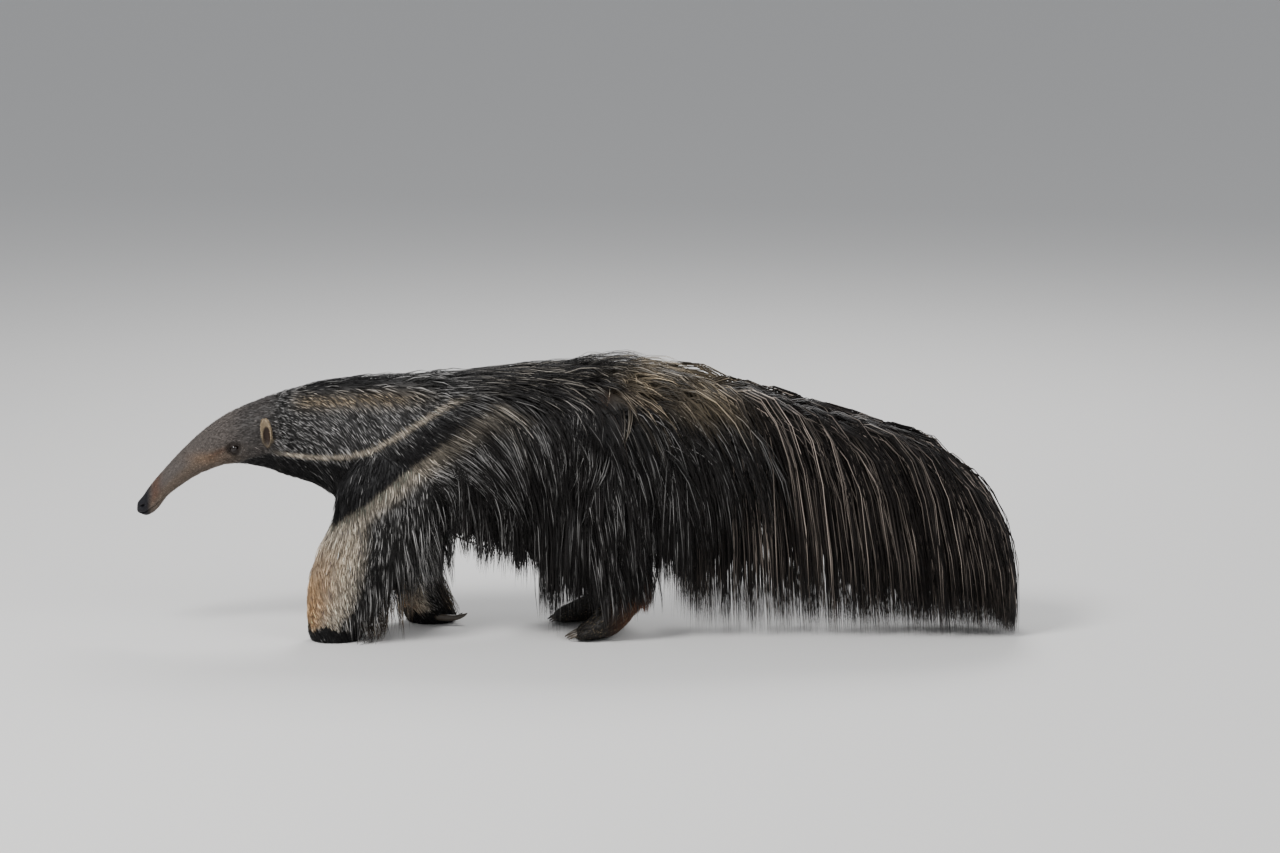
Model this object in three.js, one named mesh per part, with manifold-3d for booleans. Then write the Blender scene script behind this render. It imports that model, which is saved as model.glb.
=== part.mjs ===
// A giant anteater, life size, walking with its long head held low and its tail hair hanging like a curtain.
// Millimetres, +Z up. The nose points along -X and the animal's left side faces -Y.
// A side-view point is [x, z]. The coat's long hair is made as flat, tapered locks rooted in each part.
import * as THREE from "three";
import { mergeVertices } from "three/addons/utils/BufferGeometryUtils.js";
import Module from "manifold-3d";

const wasm = await Module();
wasm.setup();

// Driving dimensions

const GAP = 0.3; // clear space between touching parts
const TRUNK_SIDES = 16;
const LIMB_SIDES = 12;
const FORE_Y = 92; // a foreleg's distance from the middle plane
const HIND_Y = 86;
const EYE_RADIUS = 8.5;
const EYE_AT = { x: -717, y: 41, z: 402 };
const LID_THICKNESS = 2.4;
const EAR_AT = { x: -647, y: 62, z: 438 };
const EAR_HALF = { along: 14, thick: 8, height: 33 };
const FLOOR = 0;
const WELD = 1e-3; // points closer than this are one point
const TIP_CLEARANCE = 4; // the lowest that a hanging lock comes to the floor

// The trunk from nose to rump, as sections that run from a top point to a bottom point.
const TRUNK = [
  { top: [-931, 266], bottom: [-925, 254], half: 7 },
  { top: [-929, 279], bottom: [-909, 250], half: 15 },
  { top: [-918, 294], bottom: [-888, 263], half: 21 },
  { top: [-898, 322], bottom: [-864, 292], half: 22 },
  { top: [-869, 354], bottom: [-833, 316], half: 25 },
  { top: [-837, 389], bottom: [-801, 336], half: 29 },
  { top: [-801, 424], bottom: [-769, 350], half: 34 },
  { top: [-768, 451], bottom: [-742, 359], half: 41 },
  { top: [-735, 472], bottom: [-719, 362], half: 48 },
  { top: [-703, 488], bottom: [-697, 360], half: 53 },
  { top: [-666, 504], bottom: [-668, 355], half: 56 },
  { top: [-634, 517], bottom: [-640, 346], half: 59 },
  { top: [-594, 530], bottom: [-600, 330], half: 63 },
  { top: [-530, 546], bottom: [-553, 314], half: 73 },
  { top: [-462, 552], bottom: [-514, 290], half: 88 },
  { top: [-392, 554], bottom: [-455, 243], half: 108 },
  { top: [-310, 559], bottom: [-355, 222], half: 122 },
  { top: [-210, 567], bottom: [-235, 218], half: 128 },
  { top: [-100, 571], bottom: [-115, 219], half: 131 },
  { top: [0, 578], bottom: [0, 226], half: 132 },
  { top: [90, 580], bottom: [95, 242], half: 127 },
  { top: [165, 560], bottom: [165, 272], half: 110 },
  { top: [220, 524], bottom: [212, 330], half: 82 },
  { top: [247, 484], bottom: [240, 392], half: 42 },
];
const HEAD_CUT = { top: [-615, 527], bottom: [-640, 346] };
const NECK_CUT = { top: [-430, 560], bottom: [-497, 275] };

// The tail's fleshy dock, which carries the curtain of hair.
const DOCK = [
  { top: [190, 520], bottom: [190, 420], half: 46 },
  { top: [285, 518], bottom: [276, 440], half: 38 },
  { top: [412, 486], bottom: [398, 422], half: 32 },
  { top: [531, 450], bottom: [512, 394], half: 27 },
  { top: [640, 413], bottom: [618, 366], half: 22 },
  { top: [740, 366], bottom: [716, 328], half: 18 },
  { top: [820, 312], bottom: [800, 284], half: 13 },
  { top: [868, 264], bottom: [858, 250], half: 7 },
];

// Each leg from shoulder or hip down, as sections that run from a front point to a rear point.
const LEFT_FORELEG = [
  { top: [-470, 430], bottom: [-255, 410], half: 34 },
  { top: [-498, 340], bottom: [-275, 310], half: 56 },
  { top: [-514, 262], bottom: [-306, 230], half: 64 },
  { top: [-542, 205], bottom: [-330, 170], half: 63 },
  { top: [-562, 150], bottom: [-362, 118], half: 58 },
  { top: [-570, 100], bottom: [-400, 76], half: 52 },
  { top: [-570, 62], bottom: [-432, 48], half: 48 },
  { top: [-567, 40], bottom: [-450, 32], half: 45 },
];
const LEFT_FOREFOOT = [
  { top: [-564, 54], bottom: [-452, 44], half: 42 },
  { top: [-566, 32], bottom: [-450, 24], half: 45 },
  { top: [-563, 12], bottom: [-454, 10], half: 44 },
  { top: [-557, 0], bottom: [-460, 0], half: 38 },
];
const RIGHT_FORELEG = [
  { top: [-450, 430], bottom: [-235, 410], half: 34 },
  { top: [-455, 340], bottom: [-240, 310], half: 56 },
  { top: [-452, 262], bottom: [-250, 235], half: 64 },
  { top: [-440, 205], bottom: [-266, 178], half: 60 },
  { top: [-424, 150], bottom: [-274, 130], half: 55 },
  { top: [-406, 100], bottom: [-276, 90], half: 50 },
  { top: [-390, 62], bottom: [-270, 52], half: 46 },
  { top: [-380, 40], bottom: [-266, 32], half: 44 },
];
const RIGHT_FOREFOOT = [
  { top: [-378, 54], bottom: [-266, 44], half: 42 },
  { top: [-376, 32], bottom: [-262, 24], half: 45 },
  { top: [-370, 12], bottom: [-262, 10], half: 44 },
  { top: [-362, 0], bottom: [-268, 0], half: 38 },
];
const LEFT_HINDLEG = [
  { top: [-40, 430], bottom: [190, 430], half: 36 },
  { top: [-48, 340], bottom: [196, 340], half: 60 },
  { top: [-34, 270], bottom: [188, 268], half: 62 },
  { top: [4, 215], bottom: [178, 205], half: 53 },
  { top: [44, 168], bottom: [171, 152], half: 43 },
  { top: [68, 130], bottom: [164, 118], half: 37 },
  { top: [84, 100], bottom: [156, 92], half: 33 },
];
const LEFT_HINDFOOT = [
  { top: [136, 134], bottom: [160, 102], half: 24 },
  { top: [102, 124], bottom: [148, 72], half: 33 },
  { top: [78, 94], bottom: [122, 40], half: 37 },
  { top: [54, 66], bottom: [88, 10], half: 40 },
  { top: [32, 46], bottom: [50, -6], half: 43 },
  { top: [14, 33], bottom: [22, -6], half: 42 },
  { top: [3, 19], bottom: [7, 3], half: 34 },
];
const RIGHT_HINDLEG = [
  { top: [-55, 430], bottom: [170, 430], half: 36 },
  { top: [-68, 340], bottom: [168, 340], half: 60 },
  { top: [-62, 270], bottom: [152, 268], half: 62 },
  { top: [-42, 215], bottom: [132, 205], half: 53 },
  { top: [-14, 160], bottom: [118, 150], half: 44 },
  { top: [12, 115], bottom: [109, 105], half: 37 },
  { top: [26, 76], bottom: [106, 66], half: 34 },
];
const RIGHT_HINDFOOT = [
  { top: [98, 62], bottom: [108, 12], half: 26 },
  { top: [72, 78], bottom: [82, -6], half: 35 },
  { top: [38, 66], bottom: [42, -6], half: 38 },
  { top: [4, 48], bottom: [8, -6], half: 41 },
  { top: [-26, 35], bottom: [-24, -6], half: 43 },
  { top: [-44, 20], bottom: [-43, 3], half: 35 },
];

// Colours, as they read in soft daylight

const finish = (color, roughness) => new THREE.MeshStandardMaterial({ color, roughness, metalness: 0 });
const COATS = {
  head: finish(0x6b6058, 0.8),
  grizzled: finish(0x4a4743, 0.85),
  dark: finish(0x242120, 0.85),
  tail: finish(0x2e2825, 0.85),
  pale: finish(0xb9ab95, 0.85),
  ear: finish(0x8c7b62, 0.8),
  eye: finish(0x0c0908, 0.15),
  claw: finish(0x3b342d, 0.45),
};

// Closed meshes and solids

// A repeatable random draw between low and high.
function dice(seed) {
  let state = seed;
  return (low, high) => {
    state = (state * 1664525 + 1013904223) % 4294967296;
    return low + ((high - low) * state) / 4294967296;
  };
}

const mix = (a, b, t) => a + (b - a) * t;

// Joins points and triangles into one solid, turned so that its faces point out.
function solid(points, triangles) {
  const corner = (i) => points[i];
  let six = 0;
  for (const [a, b, c] of triangles) six += corner(a).dot(corner(b).clone().cross(corner(c)));
  const faces = six < 0 ? triangles.map(([a, b, c]) => [a, c, b]) : triangles;
  const vertProperties = new Float32Array(points.flatMap((p) => [p.x, p.y, p.z]));
  const triVerts = new Uint32Array(faces.flat());
  return new wasm.Manifold(new wasm.Mesh({ numProp: 3, vertProperties, triVerts }));
}

// A three.js geometry as a solid.
function solidOf(geometry) {
  const plain = geometry.clone();
  plain.deleteAttribute("normal");
  plain.deleteAttribute("uv");
  const merged = mergeVertices(plain, WELD);
  return new wasm.Manifold(
    new wasm.Mesh({
      numProp: 3,
      vertProperties: merged.attributes.position.array,
      triVerts: new Uint32Array(merged.index.array),
    }),
  );
}

// Skins a row of rings, each with the same number of points, and closes both ends.
function skin(rings) {
  const count = rings[0].length;
  const points = rings.flat();
  const triangles = [];
  for (let r = 0; r + 1 < rings.length; r++) {
    for (let k = 0; k < count; k++) {
      const next = (k + 1) % count;
      const [a, b, c, d] = [r * count + k, r * count + next, (r + 1) * count + k, (r + 1) * count + next];
      triangles.push([a, b, d], [a, d, c]);
    }
  }
  const last = (rings.length - 1) * count;
  for (let k = 1; k + 1 < count; k++) {
    triangles.push([0, k + 1, k]);
    triangles.push([last, last + k, last + k + 1]);
  }
  return { points, triangles };
}

// A round solid through sections in the side view, centred on the plane y = centreY.
// steps is how many rings each span between two sections gets. grow swells it on all sides.
function loft(sections, { sides, steps, centreY = 0, grow = 0, egg = 0 }) {
  const through = (key) =>
    new THREE.CatmullRomCurve3(sections.map((s) => new THREE.Vector3(s[key][0], s.half, s[key][1])));
  const tops = through("top");
  const bottoms = through("bottom");
  const count = (sections.length - 1) * steps;
  const rings = [];
  for (let i = 0; i <= count; i++) {
    const top = tops.getPoint(i / count);
    const bottom = bottoms.getPoint(i / count);
    const half = top.y + grow;
    const across = new THREE.Vector2(top.x - bottom.x, top.z - bottom.z);
    const height = across.length() / 2 + grow;
    across.normalize();
    const middle = [(top.x + bottom.x) / 2, (top.z + bottom.z) / 2];
    const ring = [];
    for (let k = 0; k < sides; k++) {
      const angle = (2 * Math.PI * k) / sides;
      const rise = height * (Math.cos(angle) - egg * Math.sin(angle) ** 2);
      ring.push(
        new THREE.Vector3(middle[0] + across.x * rise, centreY + half * Math.sin(angle), middle[1] + across.y * rise),
      );
    }
    rings.push(ring);
  }
  const { points, triangles } = skin(rings);
  return solid(points, triangles);
}

// A ball squeezed to three half sizes, turned and placed.
function ball(at, half, { turn = [0, 0, 0], around = 10, down = 6 } = {}) {
  const geometry = new THREE.SphereGeometry(1, around, down);
  geometry.scale(...half);
  geometry.rotateX(turn[0]);
  geometry.rotateY(turn[1]);
  geometry.rotateZ(turn[2]);
  geometry.translate(...at);
  return solidOf(geometry);
}

const fuse = (solids) => wasm.Manifold.union(solids);

// The largest closed surface of a solid.
function largest(body) {
  return body.decompose().reduce((best, piece) => (piece.volume() > best.volume() ? piece : best));
}

// The half of a solid on one side of a cut through a top and a bottom point. side is 1 for the tailward half.
function cutAt(body, { top, bottom }, side, clear = GAP / 2) {
  const along = new THREE.Vector2(top[0] - bottom[0], top[1] - bottom[1]).normalize();
  const normal = [along.y * side, 0, -along.x * side];
  const offset = normal[0] * top[0] + normal[2] * top[1];
  return body.trimByPlane(normal, offset + clear);
}

// Locks of hair

const LOCK_STATIONS = [0, 0.36, 0.74];
const LOCK_WIDTHS = [0.7, 1, 0.8];
const LOCK_DEPTHS = [1, 0.9, 0.7];
const LOCK_DEPTH = 9;
const STRAIGHT = 0.25; // a lock that bends less than this has no plane of its own

// A flat lock through a root, two points on the way and a tip. Its flat face lies towards the body
// and a low ridge runs along its face on the outward side.
function lock(path, outward, width, grow = 0) {
  const curve = new THREE.CatmullRomCurve3(path.map((p) => new THREE.Vector3(...p)));
  // It bends over its flat face, so its width lies across the plane that it bends in.
  const hinge = new THREE.Vector3().crossVectors(curve.getTangent(0), curve.getTangent(1));
  if (hinge.length() < STRAIGHT) hinge.crossVectors(outward, curve.getTangent(0.5));
  if (hinge.dot(new THREE.Vector3().crossVectors(outward, curve.getTangent(0.5))) < 0) hinge.negate();
  const rings = LOCK_STATIONS.map((t, i) => {
    const at = curve.getPoint(t);
    const along = curve.getTangent(t);
    const wide = hinge.clone().addScaledVector(along, -hinge.dot(along)).normalize();
    const deep = new THREE.Vector3().crossVectors(along, wide);
    const halfWidth = (LOCK_WIDTHS[i] * width) / 2 + 3 * grow;
    const halfDepth = (LOCK_DEPTHS[i] * LOCK_DEPTH) / 2 + 1.3 * grow;
    return [
      at.clone().addScaledVector(wide, halfWidth).addScaledVector(deep, -halfDepth),
      at.clone().addScaledVector(deep, halfDepth),
      at.clone().addScaledVector(wide, -halfWidth).addScaledVector(deep, -halfDepth),
    ];
  });
  const { points, triangles } = skin(rings);
  const lastRing = points.length - 3;
  const open = triangles.filter((t) => !t.every((i) => i >= lastRing));
  const tip = points.push(curve.getPoint(1).addScaledVector(curve.getTangent(1), 6 * grow)) - 1;
  for (let k = 0; k < 3; k++) open.push([lastRing + k, lastRing + ((k + 1) % 3), tip]);
  return solid(points, open);
}

// The section of a row of sections at a share of its length.
function sectionAt(sections, share) {
  const place = share * (sections.length - 1);
  const i = Math.min(Math.floor(place), sections.length - 2);
  const [a, b, t] = [sections[i], sections[i + 1], place - i];
  const point = (key) => [mix(a[key][0], b[key][0], t), mix(a[key][1], b[key][1], t)];
  return { top: point("top"), bottom: point("bottom"), half: mix(a.half, b.half, t) };
}

// The trunk's height and half width where its middle line passes x.
function trunkAt(x) {
  const middle = (s) => (s.top[0] + s.bottom[0]) / 2;
  let i = 0;
  while (i < TRUNK.length - 2 && middle(TRUNK[i + 1]) < x) i++;
  const [a, b] = [TRUNK[i], TRUNK[i + 1]];
  const t = THREE.MathUtils.clamp((x - middle(a)) / (middle(b) - middle(a)), 0, 1);
  return {
    top: mix(a.top[1], b.top[1], t),
    bottom: mix(a.bottom[1], b.bottom[1], t),
    half: mix(a.half, b.half, t),
  };
}

// How far out the side of the trunk lies at a side-view point. Below its widest level hair hangs straight down.
function flankY(x, z) {
  const { top, bottom, half } = trunkAt(x);
  const middle = (top + bottom) / 2;
  const rise = Math.min(Math.max(z - middle, 0) / (top - middle), 0.98);
  return half * Math.sqrt(1 - rise * rise);
}

const TAILWARD = new THREE.Vector3(1, 0, 0);
const UPWARD = new THREE.Vector3(0, 0, 1);
const SIDEWAYS = { [-1]: new THREE.Vector3(0, -1, 0), 1: new THREE.Vector3(0, 1, 0) };

// The level of the coat's upper outline along the back, over the rump to the tail.
const CREST = [
  [-600, 533],
  [-516, 550],
  [-435, 563],
  [-326, 575],
  [-206, 589],
  [-104, 594],
  [-51, 604],
  [25, 608],
  [90, 615],
  [135, 611],
  [206, 583],
  [281, 560],
  [341, 545],
  [412, 519],
];

// A level read off a line of [x, level] points.
function levelAt(line, x) {
  let i = 0;
  while (i < line.length - 2 && line[i + 1][0] < x) i++;
  const [a, b] = [line[i], line[i + 1]];
  return mix(a[1], b[1], THREE.MathUtils.clamp((x - a[0]) / (b[0] - a[0]), 0, 1));
}

// Rows of locks on the flanks: side-view roots from front to back, and how far each lock falls and sweeps back.
const FLANK_ROWS = [
  { from: [-262, 288], to: [-70, 276], count: 5, fall: 132, sweep: 36, lift: 8, width: 54 },
  { from: [-305, 392], to: [-82, 384], count: 5, fall: 172, sweep: 62, lift: 15, width: 58 },
  { from: [-272, 490], to: [95, 474], count: 7, fall: 165, sweep: 92, lift: 20, width: 64 },
  { from: [146, 478], to: [218, 448], count: 3, fall: 345, sweep: 46, lift: 16, width: 62 },
];
// Rows of the mane that runs along the spine, as distance from the middle plane.
const MANE_ROWS = [
  { from: -410, to: 205, count: 8, out: 13, outAtTip: 24, reach: 140, drop: 2, width: 50 },
  { from: -372, to: 190, count: 7, out: 52, outAtTip: 92, reach: 132, drop: 8, width: 58 },
];
const NECK_MANE_ROWS = [
  { from: -560, to: -480, count: 2, out: 13, outAtTip: 22, reach: 96, drop: 0, width: 38 },
  { from: -548, to: -470, count: 2, out: 36, outAtTip: 54, reach: 88, drop: 4, width: 40 },
];
const ROOT_DEPTH = 16;

function flankLocks(grow) {
  const roll = dice(11);
  const locks = [];
  for (const side of [-1, 1]) {
    for (const row of FLANK_ROWS) {
      for (let i = 0; i < row.count; i++) {
        const t = i / (row.count - 1);
        const x = mix(row.from[0], row.to[0], t) + roll(-8, 8);
        const z = mix(row.from[1], row.to[1], t) + roll(-10, 10);
        const fall = row.fall * roll(0.86, 1.1);
        const sweep = row.sweep * roll(0.8, 1.25);
        const lift = row.lift + (i % 2) * 8 + roll(-1.5, 1.5);
        const place = (across, down, out) => {
          const [px, pz] = [x + sweep * across, z - fall * down];
          return [px, side * (flankY(px, Math.max(pz, 330)) + out), pz];
        };
        const path = [
          place(0, 0, -ROOT_DEPTH),
          place(0.2, 0.2, lift * 0.9),
          place(0.58, 0.62, lift),
          place(1, 1, lift * 0.6),
        ];
        locks.push(lock(path, SIDEWAYS[side], row.width * roll(0.9, 1.1), grow));
      }
    }
  }
  return locks;
}

function maneLocks(rows, seed, grow) {
  const roll = dice(seed);
  const locks = [];
  for (const side of [-1, 1]) {
    for (const row of rows) {
      for (let i = 0; i < row.count; i++) {
        const x = mix(row.from, row.to, i / (row.count - 1)) + roll(-6, 6) + side * 9;
        const reach = row.reach * roll(0.9, 1.1);
        const place = (share, raised) => {
          const px = x + reach * share;
          const { top, bottom, half } = trunkAt(px);
          const out = mix(row.out, row.outAtTip, share);
          const fall = ((top - bottom) / 2) * (1 - Math.sqrt(1 - Math.min(out / half, 0.95) ** 2));
          const crest = levelAt(CREST, px) - row.drop - roll(0, 5);
          return [px, side * out, raised ? crest - fall : top - fall - ROOT_DEPTH];
        };
        const path = [place(0, false), place(0.3, true), place(0.66, true), place(1, true)];
        path[3][2] -= 10;
        locks.push(lock(path, UPWARD, row.width * roll(0.9, 1.1), grow));
      }
    }
  }
  return locks;
}

// Rows of the tail curtain: angle is where round the dock a lock is rooted, counted from the top.
const TAIL_ROWS = [
  { angle: 150, first: 0.15, last: 0.96, count: 6, spread: 20, crown: -4, raise: 0, width: 86 },
  { angle: 88, first: 0.17, last: 0.97, count: 8, spread: 62, crown: 8, raise: 14, width: 82 },
  { angle: 28, first: 0.13, last: 0.99, count: 9, spread: 94, crown: 40, raise: 40, width: 88 },
];
// The level of the curtain's lower edge along the tail.
const TAIL_HEM = [
  [180, 130],
  [240, 82],
  [320, 40],
  [430, 20],
  [560, 12],
  [700, 6],
  [800, TIP_CLEARANCE],
  [930, 40],
];
const TAIL_END = 928;

const hemAt = (x) => levelAt(TAIL_HEM, x);

function tailLocks(grow) {
  const roll = dice(29);
  const locks = [];
  for (const side of [-1, 1]) {
    for (const row of TAIL_ROWS) {
      for (let i = 0; i < row.count; i++) {
        const share = mix(row.first, row.last, i / (row.count - 1)) + roll(-0.008, 0.008);
        const { top, bottom, half } = sectionAt(DOCK, Math.min(share, 0.99));
        const angle = THREE.MathUtils.degToRad(row.angle + roll(-6, 6));
        const up = new THREE.Vector2(top[0] - bottom[0], top[1] - bottom[1]).multiplyScalar(0.5);
        const middle = [(top[0] + bottom[0]) / 2, (top[1] + bottom[1]) / 2];
        const root = [
          middle[0] + up.x * Math.cos(angle) * 0.45,
          side * half * Math.sin(angle) * 0.45,
          middle[1] + up.y * Math.cos(angle) * 0.45,
        ];
        const layer = (i % 2) * 15;
        const spread = (row.spread + layer) * mix(1, 0.72, Math.max(0, share * 2 - 1));
        const crown = row.crown * roll(0.85, 1.15);
        const fall = root[2] - hemAt(root[0] + 60);
        const trail = mix(0.08, 0.3, share) * fall * roll(0.85, 1.15) + mix(22, 62, share);
        const tipX = Math.min(root[0] + trail, TAIL_END - roll(0, 14));
        const tipZ = Math.max(hemAt(tipX) + row.raise * roll(0.3, 1.3), TIP_CLEARANCE + roll(0, 5));
        const path = [
          root,
          [mix(root[0], tipX, 0.3), side * (Math.abs(root[1]) + spread * 0.75), root[2] + crown],
          [mix(root[0], tipX, 0.74), side * spread, mix(root[2], tipZ, 0.45)],
          [tipX, side * spread * roll(0.84, 1), tipZ],
        ];
        locks.push(lock(path, SIDEWAYS[side], row.width * roll(0.9, 1.1), grow));
      }
    }
  }
  return locks;
}

// Long hair behind a foreleg, from elbow to wrist: a root and a tip in the side view for the first and last lock.
function forelegLocks(leg, side, seed, grow) {
  const roll = dice(seed);
  const locks = [];
  const count = 4;
  for (let i = 0; i < count; i++) {
    for (const layer of [0, 1]) {
      const share = mix(0.28, 0.86, (i + layer * 0.5) / count);
      const { bottom, half } = sectionAt(leg, share);
      const out = side * (FORE_Y + half * (layer ? 0.42 : -0.35));
      const length = mix(104, 58, share) * roll(0.9, 1.15);
      const tip = [bottom[0] + length * 0.22, out, Math.max(bottom[1] - length * 0.92, 14)];
      const path = [
        [bottom[0] - 26, out, bottom[1] + 12],
        [bottom[0] + 9, out, bottom[1] - 8],
        [bottom[0] + 14, out, mix(bottom[1], tip[2], 0.6)],
        tip,
      ];
      locks.push(lock(path, TAILWARD, 46 * roll(0.9, 1.1), grow));
    }
  }
  return locks;
}

// The skirt of long hair that hangs from the thigh over the shank.
const THIGH_ROWS = [
  { from: [-18, 262], to: [118, 236], count: 4, fall: 160, lift: 6, width: 50 },
  { from: [-26, 352], to: [150, 342], count: 4, fall: 190, lift: 12, width: 58 },
];

function thighLocks(leg, side, seed, grow) {
  const roll = dice(seed);
  const locks = [];
  const shift = leg[1].top[0] - LEFT_HINDLEG[1].top[0];
  const middleX = (leg[1].top[0] + leg[1].bottom[0]) / 2;
  for (const row of THIGH_ROWS) {
    for (let i = 0; i < row.count; i++) {
      const t = i / (row.count - 1);
      const x = mix(row.from[0], row.to[0], t) + shift + roll(-5, 5);
      const z = mix(row.from[1], row.to[1], t);
      const round = Math.sqrt(1 - Math.min(Math.abs(x - middleX) / 124, 0.92) ** 2);
      const out = HIND_Y + 56 * round;
      const lift = row.lift + (i % 2) * 7;
      const fall = row.fall * roll(0.88, 1.08);
      const path = [
        [x, side * (out - ROOT_DEPTH), z],
        [x + 6, side * (out + lift), z - fall * 0.2],
        [x + 15, side * (out + lift), z - fall * 0.62],
        [x + 24, side * (out + lift * 0.3), z - fall],
      ];
      locks.push(lock(path, SIDEWAYS[side], row.width * roll(0.92, 1.08), grow));
    }
  }
  return locks;
}

// Trunk parts

const trunk = (grow, steps = 2) => loft(TRUNK, { sides: TRUNK_SIDES, steps, grow, egg: 0.05 });

function torsoSolid(grow = 0) {
  const core = cutAt(trunk(grow, 1), NECK_CUT, 1, GAP / 2 - grow);
  return largest(fuse([core, ...flankLocks(grow), ...maneLocks(MANE_ROWS, 17, grow)]));
}

function neckSolid(grow = 0) {
  const front = cutAt(trunk(grow), HEAD_CUT, 1, GAP / 2 - grow);
  const core = cutAt(front, NECK_CUT, -1, GAP / 2 - grow);
  return fuse([core, ...maneLocks(NECK_MANE_ROWS, 23, grow)]);
}

// The head: lids round each eye, nostrils and the small mouth cut into the snout's end.
const SNOUT_PITCH = THREE.MathUtils.degToRad(42);
const NOSTRIL = { at: [-916, 13.5, 272], half: [7, 6, 3.2] };
const MOUTH = { at: [-898, 15, 265], half: [24, 9, 1.4] };
const LOWER_LIP = { at: [-893, 0, 262], half: [25, 16.5, 7] };
const LID_OPENING = { half: [8.2, 9, 5.2], out: 8 };

function headSolid(grow = 0) {
  const core = cutAt(trunk(grow), HEAD_CUT, -1, GAP / 2 - grow);
  const added = [core];
  const removed = [];
  added.push(ball(LOWER_LIP.at, LOWER_LIP.half.map((h) => h + grow), { turn: [0, SNOUT_PITCH, 0] }));
  for (const side of [-1, 1]) {
    const eye = [EYE_AT.x, side * EYE_AT.y, EYE_AT.z];
    const lid = EYE_RADIUS + LID_THICKNESS + grow;
    added.push(ball(eye, [lid * 1.18, lid, lid * 1.02]));
    if (grow) continue;
    const socket = EYE_RADIUS + GAP;
    removed.push(ball(eye, [socket, socket, socket]));
    const slit = [EYE_AT.x, side * (EYE_AT.y + LID_OPENING.out), EYE_AT.z - 0.5];
    removed.push(ball(slit, LID_OPENING.half, { turn: [0, 0.3, 0], around: 8, down: 5 }));
    const [nx, ny, nz] = NOSTRIL.at;
    removed.push(ball([nx, side * ny, nz], NOSTRIL.half, { turn: [0, -0.5, side * 0.4], around: 8, down: 4 }));
    const [mx, my, mz] = MOUTH.at;
    removed.push(ball([mx, side * my, mz], MOUTH.half, { turn: [0, SNOUT_PITCH, 0], around: 8, down: 4 }));
  }
  const whole = fuse(added);
  return removed.length ? largest(whole.subtract(fuse(removed))) : whole;
}

function eyeSolid(side) {
  return ball([EYE_AT.x, side * EYE_AT.y, EYE_AT.z], [EYE_RADIUS, EYE_RADIUS, EYE_RADIUS]);
}

// A small upright ear, cupped outwards.
const EAR_LEAN = 0.24;
const EAR_YAW = 0.3;
const EAR_CUP = { along: 9.5, thick: 8, height: 25, out: 7 };

function earSolid(side) {
  const turn = [-side * EAR_LEAN, 0, side * EAR_YAW];
  const at = [EAR_AT.x, side * EAR_AT.y, EAR_AT.z];
  const leaf = ball(at, [EAR_HALF.along, EAR_HALF.thick, EAR_HALF.height], { turn, around: 12, down: 6 });
  const cupAt = [EAR_AT.x - 2, side * (EAR_AT.y + EAR_CUP.out), EAR_AT.z + 2];
  const cup = ball(cupAt, [EAR_CUP.along, EAR_CUP.thick, EAR_CUP.height], { turn });
  return largest(leaf.subtract(cup));
}

// Limbs

function limb(leg, foot, centreY, grow = 0) {
  const options = { sides: LIMB_SIDES, steps: 1, centreY, grow };
  return fuse([loft(leg, options), loft(foot, options)]).trimByPlane([0, 0, 1], FLOOR);
}

// A curved claw along four side-view points, with its breadth across.
function claw(path, y, inward, radius) {
  const curve = new THREE.CubicBezierCurve3(
    ...path.map(([x, z], i) => new THREE.Vector3(x, y + (inward * i) / 3, z)),
  );
  const sides = 6;
  const stations = [0, 0.35, 0.7, 0.92];
  const girths = [1, 0.92, 0.62, 0.28];
  const rings = stations.map((t, i) => {
    const at = curve.getPoint(t);
    const along = curve.getTangent(t);
    const across = new THREE.Vector3(0, 1, 0).addScaledVector(along, -along.y).normalize();
    const up = new THREE.Vector3().crossVectors(along, across);
    const ring = [];
    for (let k = 0; k < sides; k++) {
      const angle = (2 * Math.PI * k) / sides;
      ring.push(
        at
          .clone()
          .addScaledVector(across, 0.78 * radius * girths[i] * Math.cos(angle))
          .addScaledVector(up, radius * girths[i] * Math.sin(angle)),
      );
    }
    return ring;
  });
  const { points, triangles } = skin(rings);
  return solid(points, triangles);
}

// The long claws of a forefoot are folded in under it and point back, three on the inner side.
const FORE_CLAWS = [
  { digit: 2, y: -20, length: 62, radius: 6.5 },
  { digit: 3, y: -36, length: 88, radius: 9 },
  { digit: 4, y: 0, length: 30, radius: 5 },
];
const HIND_CLAWS = [-28, -14.5, 0, 14.5, 28].map((y, i) => ({ digit: i + 1, y, radius: 4.6 }));

function foreClaw(foot, side, { y, length, radius }) {
  const sole = foot[foot.length - 1];
  const rear = sole.bottom[0];
  const start = rear - 34;
  const level = radius + 2;
  const end = rear + length * 0.42;
  const path = [
    [start, level + 6],
    [rear - 4, level - 1],
    [mix(rear, end, 0.6), level],
    [end, level + 13],
  ];
  return claw(path, side * (FORE_Y + y), side * 4, radius);
}

function hindClaw(foot, side, { y, radius }) {
  const toe = foot[foot.length - 2].top[0] - Math.abs(y) * -0.32;
  const path = [
    [toe + 6, 15],
    [toe - 14, 16],
    [toe - 24, 12],
    [toe - 34, 4.5],
  ];
  return claw(path, side * HIND_Y + y, 0, radius);
}

// The model

const group = new THREE.Group();
group.name = "giant_anteater";

// A solid's surface as a three.js geometry.
function geometryOf(body) {
  const mesh = body.getMesh();
  const geometry = new THREE.BufferGeometry();
  const positions = new Float32Array(mesh.numVert * 3);
  for (let i = 0; i < mesh.numVert; i++) {
    positions.set(mesh.vertProperties.subarray(i * mesh.numProp, i * mesh.numProp + 3), i * 3);
  }
  geometry.setAttribute("position", new THREE.BufferAttribute(positions, 3));
  geometry.setIndex(new THREE.BufferAttribute(new Uint32Array(mesh.triVerts), 1));
  return geometry;
}

const nodes = [];
const addNode = (name, body, coat) => nodes.push({ name, body: largest(body), coat });

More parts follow.
